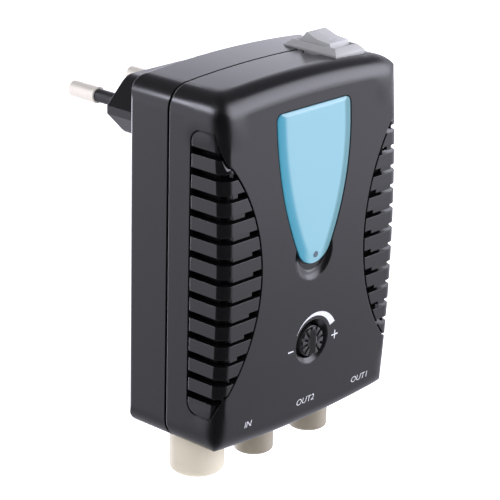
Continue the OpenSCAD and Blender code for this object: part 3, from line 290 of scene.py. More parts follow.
metalLooks = {
    "warmNickel": {"dark": (0.59, 0.54, 0.44), "light": (0.69, 0.635, 0.525), "cloud": 220.0,
                   "rings": (60.0, 60.0, 5200.0), "bump": 0.12, "rough": 0.48, "metal": 0.1,
                   "specular": 0.08},
    # the outputs' nickel: the same metal as warmNickel, painted darker as the case's shade
    "dullNickel": {"dark": (0.29, 0.257, 0.2), "light": (0.385, 0.347, 0.278), "cloud": 220.0,
                   "rings": (60.0, 60.0, 5200.0), "bump": 0.12, "rough": 0.44, "metal": 0.3},
    "pinNickel": {"dark": (0.84, 0.785, 0.71), "light": (0.93, 0.875, 0.80), "cloud": 260.0,
                  "rings": (60.0, 5200.0, 60.0), "bump": 0.10, "rough": 0.30, "metal": 0.2},
    "contactCopper": {"dark": (0.62, 0.30, 0.17), "light": (0.75, 0.40, 0.25), "cloud": 500.0,
                      "rings": (900.0, 900.0, 90.0), "bump": 0.1, "rough": 0.32},
    "tinSheet": {"dark": (0.60, 0.60, 0.59), "light": (0.72, 0.72, 0.70), "cloud": 240.0,
                 "rings": (2600.0, 80.0, 80.0), "bump": 0.12, "rough": 0.34},
    "screwSteel": {"dark": (0.52, 0.52, 0.53), "light": (0.66, 0.66, 0.67), "cloud": 600.0,
                   "rings": (900.0, 900.0, 900.0), "bump": 0.12, "rough": 0.30},
    "coreIron": {"dark": (0.10, 0.10, 0.105), "light": (0.16, 0.16, 0.165), "cloud": 300.0,
                 "rings": (60.0, 4200.0, 60.0), "bump": 0.5, "rough": 0.5},
}
coatLooks = {
    "boardGreen": {"dark": (0.012, 0.075, 0.032), "light": (0.025, 0.13, 0.055), "cloud": 420.0,
                   "bump": 0.25, "rough": 0.32},
    "windingTape": {"dark": (0.42, 0.26, 0.04), "light": (0.55, 0.36, 0.08), "cloud": 300.0,
                    "bump": 0.3, "rough": 0.4, "stretch": (1.0, 1.0, 6.0)},
    "sleeveBlue": {"dark": (0.010, 0.014, 0.05), "light": (0.02, 0.028, 0.09), "cloud": 350.0,
                   "bump": 0.1, "rough": 0.28},
    "wireBrown": {"dark": (0.10, 0.035, 0.015), "light": (0.16, 0.06, 0.03), "cloud": 700.0,
                  "bump": 0.1, "rough": 0.38},
    "wireBlue": {"dark": (0.015, 0.06, 0.22), "light": (0.03, 0.10, 0.32), "cloud": 700.0,
                 "bump": 0.1, "rough": 0.38},
    "printWhite": {"dark": (0.58, 0.595, 0.635), "light": (0.66, 0.675, 0.715), "cloud": 1500.0,
                   "bump": 0.2, "rough": 0.5},
    # near black: painted shade for the sheet behind the slots
    "screenBlack": {"dark": (0.002, 0.002, 0.002), "light": (0.005, 0.005, 0.005), "cloud": 900.0,
                    "bump": 0.4, "rough": 0.9},
}
# the edge, far-slope and wall tones are painted shade for the window's left slope, right slope and walls
windowLook = {
    "face": (0.182, 0.39, 0.475), "faceLight": (0.187, 0.396, 0.481), "edge": (0.039, 0.252, 0.36),
    "far": (0.045, 0.19, 0.225), "wall": (0.004, 0.02, 0.03),
    "slopes": (0.05, 0.17), "walls": (-0.5, -0.2), "cloud": 90.0, "cloudDetail": 2.0,
    "rough": 0.315, "cloudRough": 0.06, "coat": 0.25, "coatCloud": 0.1, "coatRough": 0.08,
}
finish = {name: plasticFinish(name, look) for name, look in plasticLooks.items()}
finish.update({name: metalFinish(name, look) for name, look in metalLooks.items()})
finish.update({name: coatedFinish(name, look) for name, look in coatLooks.items()})
finish["windowBlue"] = windowFinish("windowBlue", windowLook)
print("finishes made:", len(finish))

nodeFinish = {
    "caseBlack": ["front_cover", "rear_housing"],
    "windowBlue": ["front_lens"],
    "lightDark": ["light_pipe"],
    "knobBlack": ["gain_knob"],
    "potBlue": ["gain_pot"],
    "switchGrey": ["switch_housing"],
    "rockerGrey": ["switch_rocker"],
    "contactCopper": ["switch_contact", "switch_middle_terminal", "switch_rear_terminal"],
    "screwSteel": ["switch_plunger", "switch_spring", "case_screws", "board_screws"],
    "warmNickel": ["input_shell", "input_contact"],
    # the outputs take the nickel painted darker as shade
    "dullNickel": ["output_1_shell", "output_1_pin", "output_2_shell", "output_2_pin"],
    "insulatorWhite": ["status_led", "input_insulator", "output_1_insulator", "output_2_insulator",
                       "pin_clamp"],
    "pinNickel": ["plug_pin_left", "plug_pin_right"],
    "sleeveBlack": ["pin_sleeve_left", "pin_sleeve_right"],
    "boardGreen": ["circuit_board"],
    "tinSheet": ["shield_can", "shield_lid"],
    "coreIron": ["transformer_core"],
    "windingTape": ["transformer_winding"],
    "sleeveBlue": ["mains_capacitor", "output_capacitor"],
    "chipBlack": ["rectifier_diodes", "regulator"],
    "wireBrown": ["live_wire", "switch_wire"],
    "wireBlue": ["neutral_wire"],
}
for finishName, members in nodeFinish.items():
    for member in members:
        nodes[member].data.materials.clear()
        nodes[member].data.materials.append(finish[finishName])
print("nodes dressed:", sum(len(members) for members in nodeFinish.values()))


def linked(name, data):  # an object in the scene
    obj = bpy.data.objects.new(name, data)
    scene.collection.objects.link(obj)
    return obj


def placeMesh(name, mesh, finishName, body, sharp, replaced=()):
    mesh.name = name
    for polygon in mesh.polygons:
        polygon.use_smooth = True
    mesh.set_sharp_from_angle(angle=math.radians(sharp))
    mesh.materials.clear()
    mesh.materials.append(finish[finishName])
    obj = linked(name, mesh)
    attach(obj, body)
    if replaced:
        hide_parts(*replaced)


weld = 1e-7  # points closer than this are one point, in metres


def plainMesh(build, name):
    mesh = bpy.data.meshes.new(name)
    build.to_mesh(mesh)
    build.free()
    return mesh


def meshFrom(build):  # a closed mesh from a bmesh, faces outwards
    bmesh.ops.remove_doubles(build, verts=build.verts, dist=weld)
    bmesh.ops.recalc_face_normals(build, faces=build.faces)
    return plainMesh(build, "piece")


def addPart(build, part):  # adds one closed solid to a bmesh
    bmesh.ops.recalc_face_normals(part, faces=part.faces)
    mesh = plainMesh(part, "part")
    build.from_mesh(mesh)
    bpy.data.meshes.remove(mesh)


def evaluated(obj):  # the object's final form as a plain mesh
    graph = bpy.context.evaluated_depsgraph_get()
    final = obj.evaluated_get(graph)
    mesh = bpy.data.meshes.new_from_object(final, preserve_all_data_layers=True, depsgraph=graph)
    bpy.data.objects.remove(obj)
    return mesh


def bevelled(mesh, width, segments, sharp):
    obj = linked("blank", mesh)
    bevel = obj.modifiers.new("Bevel", "BEVEL")
    bevel.width = width * mm
    bevel.segments = segments
    bevel.limit_method = "ANGLE"
    bevel.angle_limit = math.radians(sharp)
    return evaluated(obj)


def ringStack(rings, caps=True):  # closed skin over loops of equal length
    build = bmesh.new()
    loops = [[build.verts.new(Vector(point) * mm) for point in ring] for ring in rings]
    for low, high in zip(loops, loops[1:]):
        for i in range(len(low)):
            j = (i + 1) % len(low)
            build.faces.new((low[i], low[j], high[j], high[i]))
    if caps:
        build.faces.new(list(reversed(loops[0])))
        build.faces.new(loops[-1])
    return build


def arcPoints(x, z, radius, start, end, steps):
    angles = [start + (end - start) * i / steps for i in range(steps + 1)]
    return [(x + radius * math.cos(a), z + radius * math.sin(a)) for a in angles]


# the pale window: a crowned pane with a sloped rim, its slope as inset and depth from wall to face
windowPane = {
    "halfWidth": 12.4, "top": 8.4, "low": -28.6, "shoulder": 5.0, "tipRadius": 6.0,
    "corner": 1.8, "leastCorner": 0.5, "proud": 0.5, "topShare": 0.3,
    "slope": ((0.2, 0.95), (0.2, 0.08), (0.27, -0.02), (0.46, -0.08), (1.1, -0.22), (1.9, -0.36),
              (2.5, -0.45), (3.0, -0.49), (3.4, -0.5)),
    "faceMiddle": -8.0, "faceRings": (0.85, 0.65, 0.45, 0.25, 0.08),
    "tipSteps": 24, "sideSteps": 40, "cornerSteps": 12, "sharp": 50.0,
}


def windowOutline(inset):
    w = windowPane
    half = w["halfWidth"]
    tip = w["tipRadius"]
    tipZ = w["low"] + tip
    rise = w["shoulder"] - tipZ
    sideR = (half ** 2 + rise ** 2 - tip ** 2) / (2 * (half - tip))
    join = math.atan2(rise, sideR - half)  # where the tip's arc meets the side's
    corner = w["corner"] - min(inset, w["corner"] - w["leastCorner"])
    top = w["top"] - w["topShare"] * inset
    quarter = math.pi / 2
    points = arcPoints(0.0, tipZ, tip - inset, -quarter, -join, w["tipSteps"])  # right half, from the tip
    points += arcPoints(half - sideR, w["shoulder"], sideR - inset, -join, 0.0, w["sideSteps"])[1:]
    points += arcPoints(half - inset - corner, top - corner, corner, 0.0, quarter, w["cornerSteps"])
    return points + [(-x, z) for x, z in reversed(points)][:-1]


def makeWindow():
    w = windowPane
    rings = []
    for inset, depth in w["slope"]:
        rings.append([(x, frontAt(z) + depth, z) for x, z in windowOutline(inset)])
    inner = windowOutline(w["slope"][-1][0])
    middle = w["faceMiddle"]
    for scale in w["faceRings"]:  # face, drawn in to its middle
        ring = [(x * scale, middle + (z - middle) * scale) for x, z in inner]
        rings.append([(x, frontAt(z) - w["proud"], z) for x, z in ring])
    mesh = meshFrom(ringStack(rings))
    placeMesh("windowPane", mesh, "windowBlue", "case", w["sharp"], ["front_lens"])


# the hollow below the window's tip, as a dish that ends under it
scoopDish = {"z": -26.0, "radius": 6.38, "curve": 3.1, "flatten": 0.95, "skin": 0.01, "floor": 0.89,
             "tipGap": 0.25, "leastWidth": 0.02, "from": -196.0, "to": 16.0, "steps": 90, "rows": 8,
             "sharp": 30.0}


def makeScoop():
    w = windowPane
    d = scoopDish
    rise = w["low"] + w["tipRadius"] - d["z"]  # from the dish's centre up to the tip's
    clear = w["tipRadius"] + d["tipGap"]
    rim = d["curve"] * math.sqrt(0.5)
    rings = []
    for i in range(d["steps"] + 1):
        a = math.radians(d["from"] + (d["to"] - d["from"]) * i / d["steps"])
        across = rise * math.sin(a)
        reach = across + math.sqrt(across ** 2 + clear ** 2 - rise ** 2)
        inner = min(max(d["radius"] - rim, reach), d["radius"] - d["leastWidth"])
        section = []
        for j in range(d["rows"] + 1):
            radius = d["radius"] + (inner - d["radius"]) * j / d["rows"]
            along = radius - d["radius"] + rim
            depth = d["flatten"] * (math.sqrt(d["curve"] ** 2 - along ** 2) - rim) + d["skin"]
            section.append((radius, depth))
        section += [(inner, d["floor"]), (d["radius"], d["floor"])]
        ring = [(r * math.cos(a), d["z"] + r * math.sin(a), depth) for r, depth in section]
        rings.append([(x, frontAt(z) + depth, z) for x, z, depth in ring])
    placeMesh("scoopDish", meshFrom(ringStack(rings)), "caseBlack", "case", d["sharp"])


makeWindow()
makeScoop()
print("window made")

# the gain knob: a toothed wheel with a wedge across it; profile and wedge count from its face
gainKnob = {
    "x": 0.8, "z": -47.9, "rise": 0.3, "hub": 1.75, "sharp": 35.0,
    "teeth": 12, "toothReach": 3.53, "slotWidth": 0.62, "slotDepth": 0.55, "turn": 5.0,
    "toothSteps": (4, 8), "toothBevel": 0.12, "bevelSegments": 2, "bevelSharp": 50.0, "toothSink": 0.004,
    "profile": ((0.0, 0.02), (1.5, 0.02), (1.65, 0.1), (1.73, 0.55), (3.4, 0.55), (3.65, 0.75),
                (3.65, 4.3), (3.35, 4.6), (2.0, 4.6)),
    "shaft": 2.0, "shaftEnd": -41.1, "steps": 72, "weld": 1e-6,
    "wedge": ((-1.14, 0.25), (-1.045, 0.0), (0.038, -0.67), (0.19, -0.75), (0.304, -0.67), (0.76, 0.0),
              (0.798, 0.25)),
    "wedgeEnds": ((2.95, 0.55), (2.6, 0.95), (2.25, 1.0)),  # reach and share of the height
}


def geometryTree(name, sizes):  # a node group and its inputs
    tree = bpy.data.node_groups.new(name, "GeometryNodeTree")
    tree.interface.new_socket("Geometry", in_out="OUTPUT", socket_type="NodeSocketGeometry")
    for label, value in sizes.items():
        kind = "NodeSocketInt" if isinstance(value, int) else "NodeSocketFloat"
        tree.interface.new_socket(label, in_out="INPUT", socket_type=kind)
    book = NodeBook(tree)
    values = tree.nodes.new("NodeGroupInput")
    return book, {label: Wire(book, values.outputs[label]) for label in sizes}


def runTree(name, book, copies, sizes, finishName):  # the copies as one plain mesh
    tree = book.tree
    real = book.add("GeometryNodeRealizeInstances", None, {"Geometry": copies})
    done = book.add("GeometryNodeSetMaterial", None, {"Geometry": real, "Material": finish[finishName]})
    out = tree.nodes.new("NodeGroupOutput")
    tree.links.new(done.socket, out.inputs[0])
    obj = linked(name, bpy.data.meshes.new(name))
    modifier = obj.modifiers.new("Nodes", "NODES")
    modifier.node_group = tree
    for item in tree.interface.items_tree:
        if item.in_out == "INPUT" and item.name in sizes:
            modifier[item.identifier] = sizes[item.name]
    return evaluated(obj)


def toothMesh():  # one tooth of the knob's face, on the +Z side of the axis
    k = gainKnob
    outline = []
    for radius, steps, order in zip((k["hub"], k["toothReach"]), k["toothSteps"], (-1, 1)):
        spread = math.pi / k["teeth"] - math.asin(k["slotWidth"] / 2 / radius)
        angles = [spread * (2 * i / steps - 1) for i in range(steps + 1)]
        outline += [(radius * math.sin(a), radius * math.cos(a)) for a in angles][::order]
    rings = [[(x, depth, z) for x, z in outline] for depth in (0.0, -k["slotDepth"])]
    return bevelled(meshFrom(ringStack(rings)), k["toothBevel"], k["bevelSegments"], k["bevelSharp"])


def addTurned(build, profile, centre, steps):  # adds a solid turned about Y, its profile from axis to axis
    part = bmesh.new()
    around = [2 * math.pi * i / steps for i in range(steps)]
    loops = []
    for radius, along in profile:
        angles = around if radius > 0 else [0.0]
        loops.append([part.verts.new((radius * mm * math.cos(a), along * mm, radius * mm * math.sin(a)))
                      for a in angles])
    for low, high in zip(loops, loops[1:]):
        for i in range(steps):
            j = (i + 1) % steps
            corners = [low[i % len(low)], low[j % len(low)], high[j % len(high)], high[i % len(high)]]
            corners = [v for n, v in enumerate(corners) if v not in corners[:n]]
            if len(corners) > 2:
                part.faces.new(corners)
    part.transform(Matrix.Translation(Vector(centre) * mm))
    addPart(build, part)


def knobTeeth():
    k = gainKnob
    sizes = {"Teeth": k["teeth"], "Turn": math.radians(k["turn"])}
    book, v = geometryTree("knobTeeth", sizes)
    tooth = linked("toothShape", toothMesh())
    index = book.add("GeometryNodeInputIndex")
    angle = index * (2 * math.pi) * v["Teeth"] ** -1 + v["Turn"]
    points = book.add("GeometryNodePoints", None, {"Count": v["Teeth"]})
    spin = book.add("ShaderNodeCombineXYZ", None, {"Y": angle})
    shape = book.add("GeometryNodeObjectInfo", None, {"Object": tooth}, 4)
    inputs = {"Points": points, "Instance": shape, "Rotation": spin}
    teeth = book.add("GeometryNodeInstanceOnPoints", None, inputs)
    mesh = runTree("knobTeeth", book, teeth, sizes, "knobBlack")
    bpy.data.objects.remove(tooth)
    return mesh


def makeKnob():
    k = gainKnob
    face = frontAt(k["z"]) - k["rise"]
    build = bmesh.new()
    build.from_mesh(knobTeeth())
    bmesh.ops.remove_doubles(build, verts=build.verts, dist=k["weld"])
    for v in build.verts:
        v.co += Vector((k["x"], face + k["slotDepth"] - k["toothSink"], k["z"])) * mm
    profile = [(radius, face + depth) for radius, depth in k["profile"]]
    profile += [(k["shaft"], k["shaftEnd"]), (0.0, k["shaftEnd"])]
    addTurned(build, profile, (k["x"], 0.0, k["z"]), k["steps"])
    ends = [(-reach, share) for reach, share in k["wedgeEnds"]]
    ends += list(reversed(k["wedgeEnds"]))
    rings = []
    for z, share in ends:
        section = [(x, y * share if y < 0 else y) for x, y in k["wedge"]]
        rings.append([(k["x"] + x, face + y, k["z"] + z) for x, y in section])
    addPart(build, ringStack(rings))
    mesh = plainMesh(build, "knob")
    placeMesh("gainKnobWheel", mesh, "knobBlack", "gain_knob", k["sharp"], ["gain_knob"])


# the sloped rim of the knob's hole
knobRim = {"outer": 5.48, "inner": 4.25, "depth": 1.0, "thick": 0.6, "lip": 0.12, "skin": 0.02,
           "lipDepth": 0.06, "steps": 96, "sharp": 25.0}


def makeKnobRim():
    k = gainKnob
    r = knobRim
    back = frontAt(k["z"]) + r["depth"]
    rings = []
    for i in range(r["steps"] + 1):
        a = 2 * math.pi * (i % r["steps"]) / r["steps"]
        edge = frontAt(k["z"] + r["outer"] * math.sin(a))
        section = ((r["outer"], edge + r["skin"]), (r["outer"] - r["lip"], edge + r["lipDepth"]),
                   (r["inner"], back), (r["inner"], back + r["thick"]), (r["outer"], back + r["thick"]))
        rings.append([(k["x"] + radius * math.cos(a), y, k["z"] + radius * math.sin(a))
                      for radius, y in section])
    mesh = meshFrom(ringStack(rings, caps=False))
    placeMesh("knobRim", mesh, "caseBlack", "case", r["sharp"])


makeKnob()
makeKnobRim()
print("knob made")

# the rocker switch: the housing and rocker with softened edges
switchParts = {"bezelEdge": 0.28, "rockerEdge": 0.35, "segments": 3, "edgeSharp": 40.0, "sharp": 35.0,
               "flat": 1.0, "weld": 2e-6,
               "x": 17.9, "y": -36.0, "pivot": 15.0, "tip": 12.0, "mid": 3.3, "halfRise": 7.0}


def softCopy(nodeName, width):  # a node's own form with its edges rounded
    s = switchParts
    build = bmesh.new()
    build.from_mesh(nodes[nodeName].data)
    bmesh.ops.remove_doubles(build, verts=build.verts, dist=s["weld"])
    flat = math.radians(s["flat"])
    bmesh.ops.dissolve_limit(build, angle_limit=flat, verts=build.verts, edges=build.edges)
    return bevelled(meshFrom(build), width, s["segments"], s["edgeSharp"])


def makeSwitch():
    s = switchParts
    bezel = softCopy("switch_housing", s["bezelEdge"])
    placeMesh("switchBezel", bezel, "switchGrey", "case", s["sharp"], ["switch_housing"])
    paddle = softCopy("switch_rocker", s["rockerEdge"])
    placeMesh("switchPaddle", paddle, "rockerGrey", "rocker", s["sharp"], ["switch_rocker"])


makeSwitch()
print("switch made")

# printed marks: thin raised ink on the front and on the rocker
ink = {"thick": 0.03, "lift": 0.002, "sharp": 60.0}


def onFront(x, z, lift):
    return (x, frontAt(z) - ink["lift"] - lift, z)


def onRocker(x, along, lift):  # on the rocker's top, along from its pins towards the rear
    s = switchParts
    rise = abs(along) * math.tan(math.radians(s["halfRise"])) + s["mid"] + lift + ink["lift"]
    a = math.radians(s["tip"])
    y = along * math.cos(a) - rise * math.sin(a)
    z = along * math.sin(a) + rise * math.cos(a)
    return (s["x"] + x, s["y"] + y, s["pivot"] + z)


def inkMesh(outlines, place):  # outlines in (across, up), put on a surface by place(across, up, lift)
    build = bmesh.new()
    for outline in outlines:
        low = [build.verts.new(Vector(place(a, b, 0.0)) * mm) for a, b in outline]
        high = [build.verts.new(Vector(place(a, b, ink["thick"])) * mm) for a, b in outline]
        build.faces.new(low)
        build.faces.new(high)
        for i in range(len(outline)):
            j = (i + 1) % len(outline)
            build.faces.new((low[i], low[j], high[j], high[i]))
    bmesh.ops.recalc_face_normals(build, faces=build.faces)
    return plainMesh(build, "ink")


def bar(x, z, width, height):
    left, right = x - width / 2, x + width / 2
    low, high = z - height / 2, z + height / 2
    return [(left, low), (right, low), (right, high), (left, high)]


def strip(pairs):  # four-cornered outlines between inner and outer points
    return [[a[0], a[1], b[1], b[0]] for a, b in zip(pairs, pairs[1:])]


gainMarks = {"arcFrom": 152.0, "arcTo": 21.5, "inner": 6.1, "innerEnd": 6.5, "innerPower": 2,
             "startWidth": 0.06, "outerEnd": 8.2, "outerPower": 1.35, "steps": 40,
             "minus": (-6.4, -48.6), "minusLength": 1.8, "plus": (8.8, -48.4), "plusLength": 2.2,
             "stroke": 0.31}


def makeGainMarks():
    g = gainMarks
    start = g["inner"] + g["startWidth"]
    pairs = []
    for i in range(g["steps"] + 1):
        t = i / g["steps"]
        a = math.radians(g["arcFrom"] + (g["arcTo"] - g["arcFrom"]) * t)
        inner = g["inner"] + (g["innerEnd"] - g["inner"]) * t ** g["innerPower"]
        outer = start + (g["outerEnd"] - start) * t ** g["outerPower"]
        pairs.append([(gainKnob["x"] + r * math.cos(a), gainKnob["z"] + r * math.sin(a))
                      for r in (inner, outer)])
    outlines = strip(pairs)
    stroke = g["stroke"]
    outlines.append(bar(*g["minus"], g["minusLength"], stroke))
    x, z = g["plus"]
    arm = (g["plusLength"] - stroke) / 2
    outlines.append(bar(x, z, g["plusLength"], stroke))
    outlines.append(bar(x, z + (arm + stroke) / 2, stroke, arm))
    outlines.append(bar(x, z - (arm + stroke) / 2, stroke, arm))
    mesh = inkMesh(outlines, onFront)
    placeMesh("gainMarks", mesh, "printWhite", "case", ink["sharp"])


portLabels = {"height": 1.5, "capShare": 0.69, "widen": 1.1, "slant": 0.16, "thin": -0.02,
              "resolution": 6, "z": -62.75, "labels": (("IN", -19.3), ("OUT2", 0.2), ("OUT1", 19.6))}


def letterMesh(text):
    p = portLabels
    curve = bpy.data.curves.new("letters", "FONT")
    curve.body = text
    curve.align_x = "CENTER"
    curve.align_y = "CENTER"
    curve.size = p["height"] / p["capShare"]
    curve.shear = p["slant"]
    curve.extrude = ink["thick"] / 2
    curve.offset = p["thin"]
    curve.resolution_u = p["resolution"]
    return evaluated(linked("letters", curve))


def makeLabels():
    p = portLabels
    for text, x in p["labels"]:
        mesh = letterMesh(text)
        for v in mesh.vertices:
            across = v.co.x * p["widen"] + x
            v.co = Vector(onFront(across, v.co.y + p["z"], ink["thick"] / 2 + v.co.z)) * mm
        placeMesh("label" + text.title(), mesh, "printWhite", "case", ink["sharp"])


rockerMarks = {"bar": (0.0, 1.9, 0.42, 2.1), "ring": -2.2, "radii": (0.75, 1.15), "steps": 32}


def makeRockerMarks():
    r = rockerMarks
    rounds = [arcPoints(0.0, r["ring"], radius, 0.0, 2 * math.pi, r["steps"]) for radius in r["radii"]]
    outlines = [bar(*r["bar"])] + strip(list(zip(*rounds)))
    mesh = inkMesh(outlines, onRocker)
    placeMesh("rockerMarks", mesh, "printWhite", "rocker", ink["sharp"])


makeGainMarks()
makeLabels()
makeRockerMarks()
print("marks made")

# lips behind the slots, on both sides
slotLips = {"height": 1.0, "thick": 0.9, "setBack": 0.2, "gap": 3.0, "least": 0.2, "sharp": 30.0}


def makeLips():
    c = caseForm
    s = slotLips
    lengths = {
        "Pitch": c["slotPitch"], "Middle": c["panelMiddle"], "Slot Height": c["slotHeight"],
        "Lip Height": s["height"], "Lip Thickness": s["thick"], "Set Back": s["setBack"], "Gap": s["gap"],
        "Least": s["least"], "Inner": c["panelInner"], "Arc": c["panelArc"],
        "Outer": c["halfWidth"] - c["uprightEdge"],
        "Bow": bowRadius, "Bow Centre": bowCentre, "Bow Middle": midZ,
    }
    sizes = {"Slots": c["slotCount"]}
    sizes.update({label: value * mm for label, value in lengths.items()})
    book, v = geometryTree("slotLips", sizes)
    index = book.add("GeometryNodeInputIndex")
    row = index.maths("FLOOR", index * 0.5)
    side = index.maths("MODULO", index, 2.0) * 2 - 1  # left, right, left ...
    z = v["Middle"] + (row - (v["Slots"] - 1) * 0.5) * v["Pitch"]
    up = z - v["Bow Middle"]
    arc = v["Inner"] + v["Arc"] - index.maths("SQRT", v["Arc"] ** 2 - up ** 2)
    length = index.maths("MAXIMUM", v["Outer"] - (arc + v["Gap"]), v["Least"])
    bow = v["Bow Centre"] - index.maths("SQRT", v["Bow"] ** 2 - up ** 2)
    x = side * (v["Outer"] - length * 0.5)
    y = bow + v["Set Back"] + v["Lip Thickness"] * 0.5
    high = z + (v["Slot Height"] - v["Lip Height"]) * 0.5
    spot = book.add("ShaderNodeCombineXYZ", None, {0: x, 1: y, 2: high})
    size = book.add("ShaderNodeCombineXYZ", None, {0: length, 1: v["Lip Thickness"], 2: v["Lip Height"]})
    points = book.add("GeometryNodePoints", None, {"Count": v["Slots"] * 2, "Position": spot})
    box = book.add("GeometryNodeMeshCube", None, {"Size": (1.0, 1.0, 1.0)})
    inputs = {"Points": points, "Instance": box, "Scale": size}
    lips = book.add("GeometryNodeInstanceOnPoints", None, inputs)
    mesh = runTree("slotLips", book, lips, sizes, "caseBlack")
    placeMesh("slotLips", mesh, "caseBlack", "case", s["sharp"])


# a near-black sheet inside each louvre panel: painted shade that makes the slots read dark
slotShadeSheet = {"gap": 0.35, "thick": 0.3, "low": -55.8, "high": 3.4, "inner": 16.5, "rear": -38.2,
              "chamfer": 1.0, "rows": 14, "sharp": 30.0}


def shadeSheetLine(z, inset):
    d = slotShadeSheet
    x = caseForm["halfWidth"] - inset
    y = frontAt(z) + inset
    return [(d["inner"], y), (x - d["chamfer"], y), (x, y + d["chamfer"]), (x, d["rear"])]


def makeShadeSheets():
    d = slotShadeSheet
    outside = caseForm["wall"] + d["gap"]
    build = bmesh.new()
    for side in (-1, 1):
        rings = []
        for i in range(d["rows"] + 1):
            z = d["low"] + (d["high"] - d["low"]) * i / d["rows"]
            ring = shadeSheetLine(z, outside) + shadeSheetLine(z, outside + d["thick"])[::-1]
            rings.append([(side * x, y, z) for x, y in ring])
        addPart(build, ringStack(rings))
    mesh = plainMesh(build, "shadeSheets")
    placeMesh("dustScreens", mesh, "screenBlack", "case", d["sharp"])


makeLips()
makeShadeSheets()
print("louvre insides made")

# the band that closes the step between the wide socket's tube and the case
socketBand = {"x": -19.4, "y": -33.3, "outer": 6.4, "inner": 6.2, "gap": 0.03, "fitGap": 0.1,
              "steps": 96, "sharp": 30.0}


def makeBand():
    b = socketBand
    low = lowestZ - b["fitGap"]
    rings = []
    for i in range(b["steps"] + 1):
        a = 2 * math.pi * (i % b["steps"]) / b["steps"]
        high = bottomAt(b["x"] + b["outer"] * math.cos(a)) - b["gap"]
        section = ((b["outer"], low), (b["outer"], high), (b["inner"], high), (b["inner"], low))
        rings.append([(b["x"] + r * math.cos(a), b["y"] + r * math.sin(a), z) for r, z in section])
    mesh = meshFrom(ringStack(rings, caps=False))
    placeMesh("socketBand", mesh, "warmNickel", "case", b["sharp"])


makeBand()
print("socket band made")

# camera, as the photograph was taken
cameraSet = {"place": (-0.358461, -0.356678, 0.145148), "right": (0.67860, -0.73415, 0.02279),
             "up": (0.23582, 0.24715, 0.93984), "forward": (0.69562, 0.63240, -0.34084),
             "lens": 160.18, "sensor": 36.0, "clip": (0.01, 50.0)}


def makeCamera():
    c = cameraSet
    data = bpy.data.cameras.new("photoCamera")
    data.sensor_width = c["sensor"]
    data.lens = c["lens"]
    data.clip_start, data.clip_end = c["clip"]
    camera = linked("photoCamera", data)
    turn = Matrix((c["right"], c["up"], -Vector(c["forward"]))).transposed().to_4x4()
    camera.matrix_world = Matrix.Translation(c["place"]) @ turn
    scene.camera = camera


# studio: pale floor, a bright sweep behind, a dim room in front, soft boxes and a small card
studio = {
    "floor": {"drop": -0.16, "size": 6.0, "cells": 8, "shade": (0.9, 0.92), "glow": 0.9,
              "cloud": 3.0, "cloudDetail": 2.0, "rough": 0.8, "cloudRough": 0.1},
    "camera": 1.05, "tint": (0.975, 0.97, 1.10), "room": 0.03,
    "sweepStops": ((0.0, 0.5), (0.2, 0.55), (0.29, 0.85), (0.335, 1.1), (0.375, 1.5), (0.5, 1.6),
                   (0.67, 1.4), (0.73, 0.9), (0.79, 0.25), (1.0, 0.12)),  # by height looked at
    "sweepScale": 2, "sweepWay": (0.74, 0.672, 0.0), "sweepEdge": (-0.42, -0.16),
    "boxes": (((0.69, -0.60, 0.40), 0.87, 0.985, 4.0), ((0.04, 0.94, -0.34), 0.94, 0.985, 4.0),
              ((0.2, 0.96, 0.12), 0.94, 0.985, 3.5)),  # direction, soft edge, strength
    "card": {"place": (-0.189, 0.112, 0.120), "facing": (0.643, -0.632, -0.432), "size": 0.045,
             "steps": 48, "strength": 22.0, "tint": (0.95, 0.96, 1.1)},
    "lights": (("keySoft", (-0.55, -0.75, 0.75), 0.7, 6.0), ("fillSoft", (0.7, -0.8, 0.35), 0.8, 0.4),
               ("topSoft", (-0.05, 0.0, 0.9), 0.6, 0.7)),  # place, size, power
    "aim": (0.0, -0.035, -0.03),
}
black = colour(0.0, 0.0, 0.0)
white = colour(1.0, 1.0, 1.0)


def makeFloor():
    s = studio["floor"]
    build = bmesh.new()
    bmesh.ops.create_grid(build, x_segments=s["cells"], y_segments=s["cells"], size=s["size"] / 2)
    bmesh.ops.translate(build, verts=build.verts, vec=(0.0, 0.0, s["drop"]))
    mesh = plainMesh(build, "floor")
    f = Finish("floorPaper")
    cloud = f.noise(s["cloud"], s["cloudDetail"])
    dark, light = [colour(shade, shade, shade) for shade in s["shade"]]
    f.fix("Emission Color", white)
    f.fix("Emission Strength", s["glow"])
    rough = s["rough"] + s["cloudRough"] * cloud
    mesh.materials.append(f.surface(base=f.mix(cloud, dark, light), rough=rough))
    floor = linked("floor", mesh)
    floor.visible_glossy = False


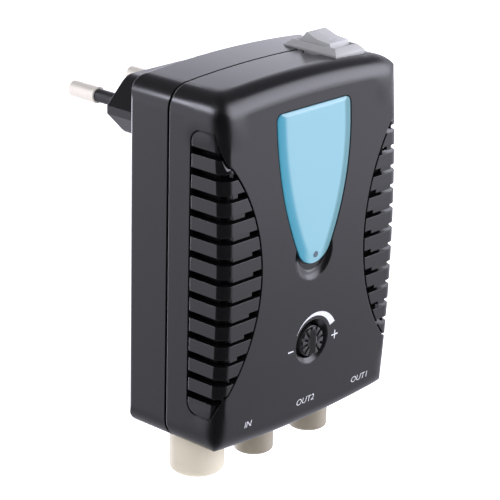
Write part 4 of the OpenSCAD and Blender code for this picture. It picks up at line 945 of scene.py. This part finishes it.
def makeWorld():
    s = studio
    world = bpy.data.worlds.new("studioWorld")
    world.use_nodes = True
    scene.world = world
    book = NodeBook(world.node_tree)
    way = book.add("ShaderNodeTexCoord", out=0)  # direction looked in

    def towards(direction):
        return book.dot(way, Vector(direction).normalized())

    height = book.part(way, "z")
    scale = s["sweepScale"]
    stops = [(place, colour(*[value / scale] * 3)) for place, value in s["sweepStops"]]
    ramp = book.add("ShaderNodeValToRGB", {"stops": stops}, {0: height * 0.5 + 0.5})
    sweep = book.add("ShaderNodeSeparateColor", None, {0: ramp}) * scale
    light = sweep * book.smooth(towards(s["sweepWay"]), *s["sweepEdge"]) + s["room"]
    for direction, soft, full, strength in s["boxes"]:
        light = light + book.smooth(towards(direction), soft, full) * strength
    seen = book.add("ShaderNodeLightPath", out=0)  # the camera itself sees plain white
    light = light * (1 - seen) + seen * s["camera"]
    background = world.node_tree.nodes["Background"]
    book.put(background.inputs["Strength"], light)
    book.put(background.inputs["Color"], book.mix(seen, colour(*s["tint"]), white))


def makeCard():  # a small glowing card above the left edge, fading from its middle
    card = studio["card"]
    build = bmesh.new()
    bmesh.ops.create_circle(build, cap_ends=True, segments=card["steps"], radius=card["size"])
    build.transform(Vector(card["facing"]).to_track_quat("Z", "Y").to_matrix().to_4x4())
    bmesh.ops.translate(build, verts=build.verts, vec=card["place"])
    mesh = plainMesh(build, "lightCard")
    f = Finish("lightCardGlow")
    settings = {"operation": "DISTANCE"}
    away = f.add("ShaderNodeVectorMath", settings, {0: f.place, 1: card["place"]}, 1)
    glow = 1 - f.smooth(away, 0.0, card["size"])
    f.fix("Emission Strength", card["strength"])
    f.put(f.shader.inputs["Emission Color"], f.mix(glow, black, colour(*card["tint"])))
    mesh.materials.append(f.surface(base=black, rough=1.0))
    obj = linked("lightCard", mesh)
    obj.visible_camera = False
    obj.visible_diffuse = False


def addLight(name, place, size, power):  # soft light for matt surfaces, not mirrored
    data = bpy.data.lights.new(name, "AREA")
    data.size = size
    data.energy = power
    light = linked(name, data)
    light.location = place
    light.rotation_euler = (Vector(place) - Vector(studio["aim"])).to_track_quat("Z", "Y").to_euler()
    light.visible_glossy = False
    light.visible_camera = False


makeCamera()
makeFloor()
makeWorld()
makeCard()
for name, place, size, power in studio["lights"]:
    addLight(name, place, size, power)
scene.view_settings.view_transform = "Standard"
print("studio made")
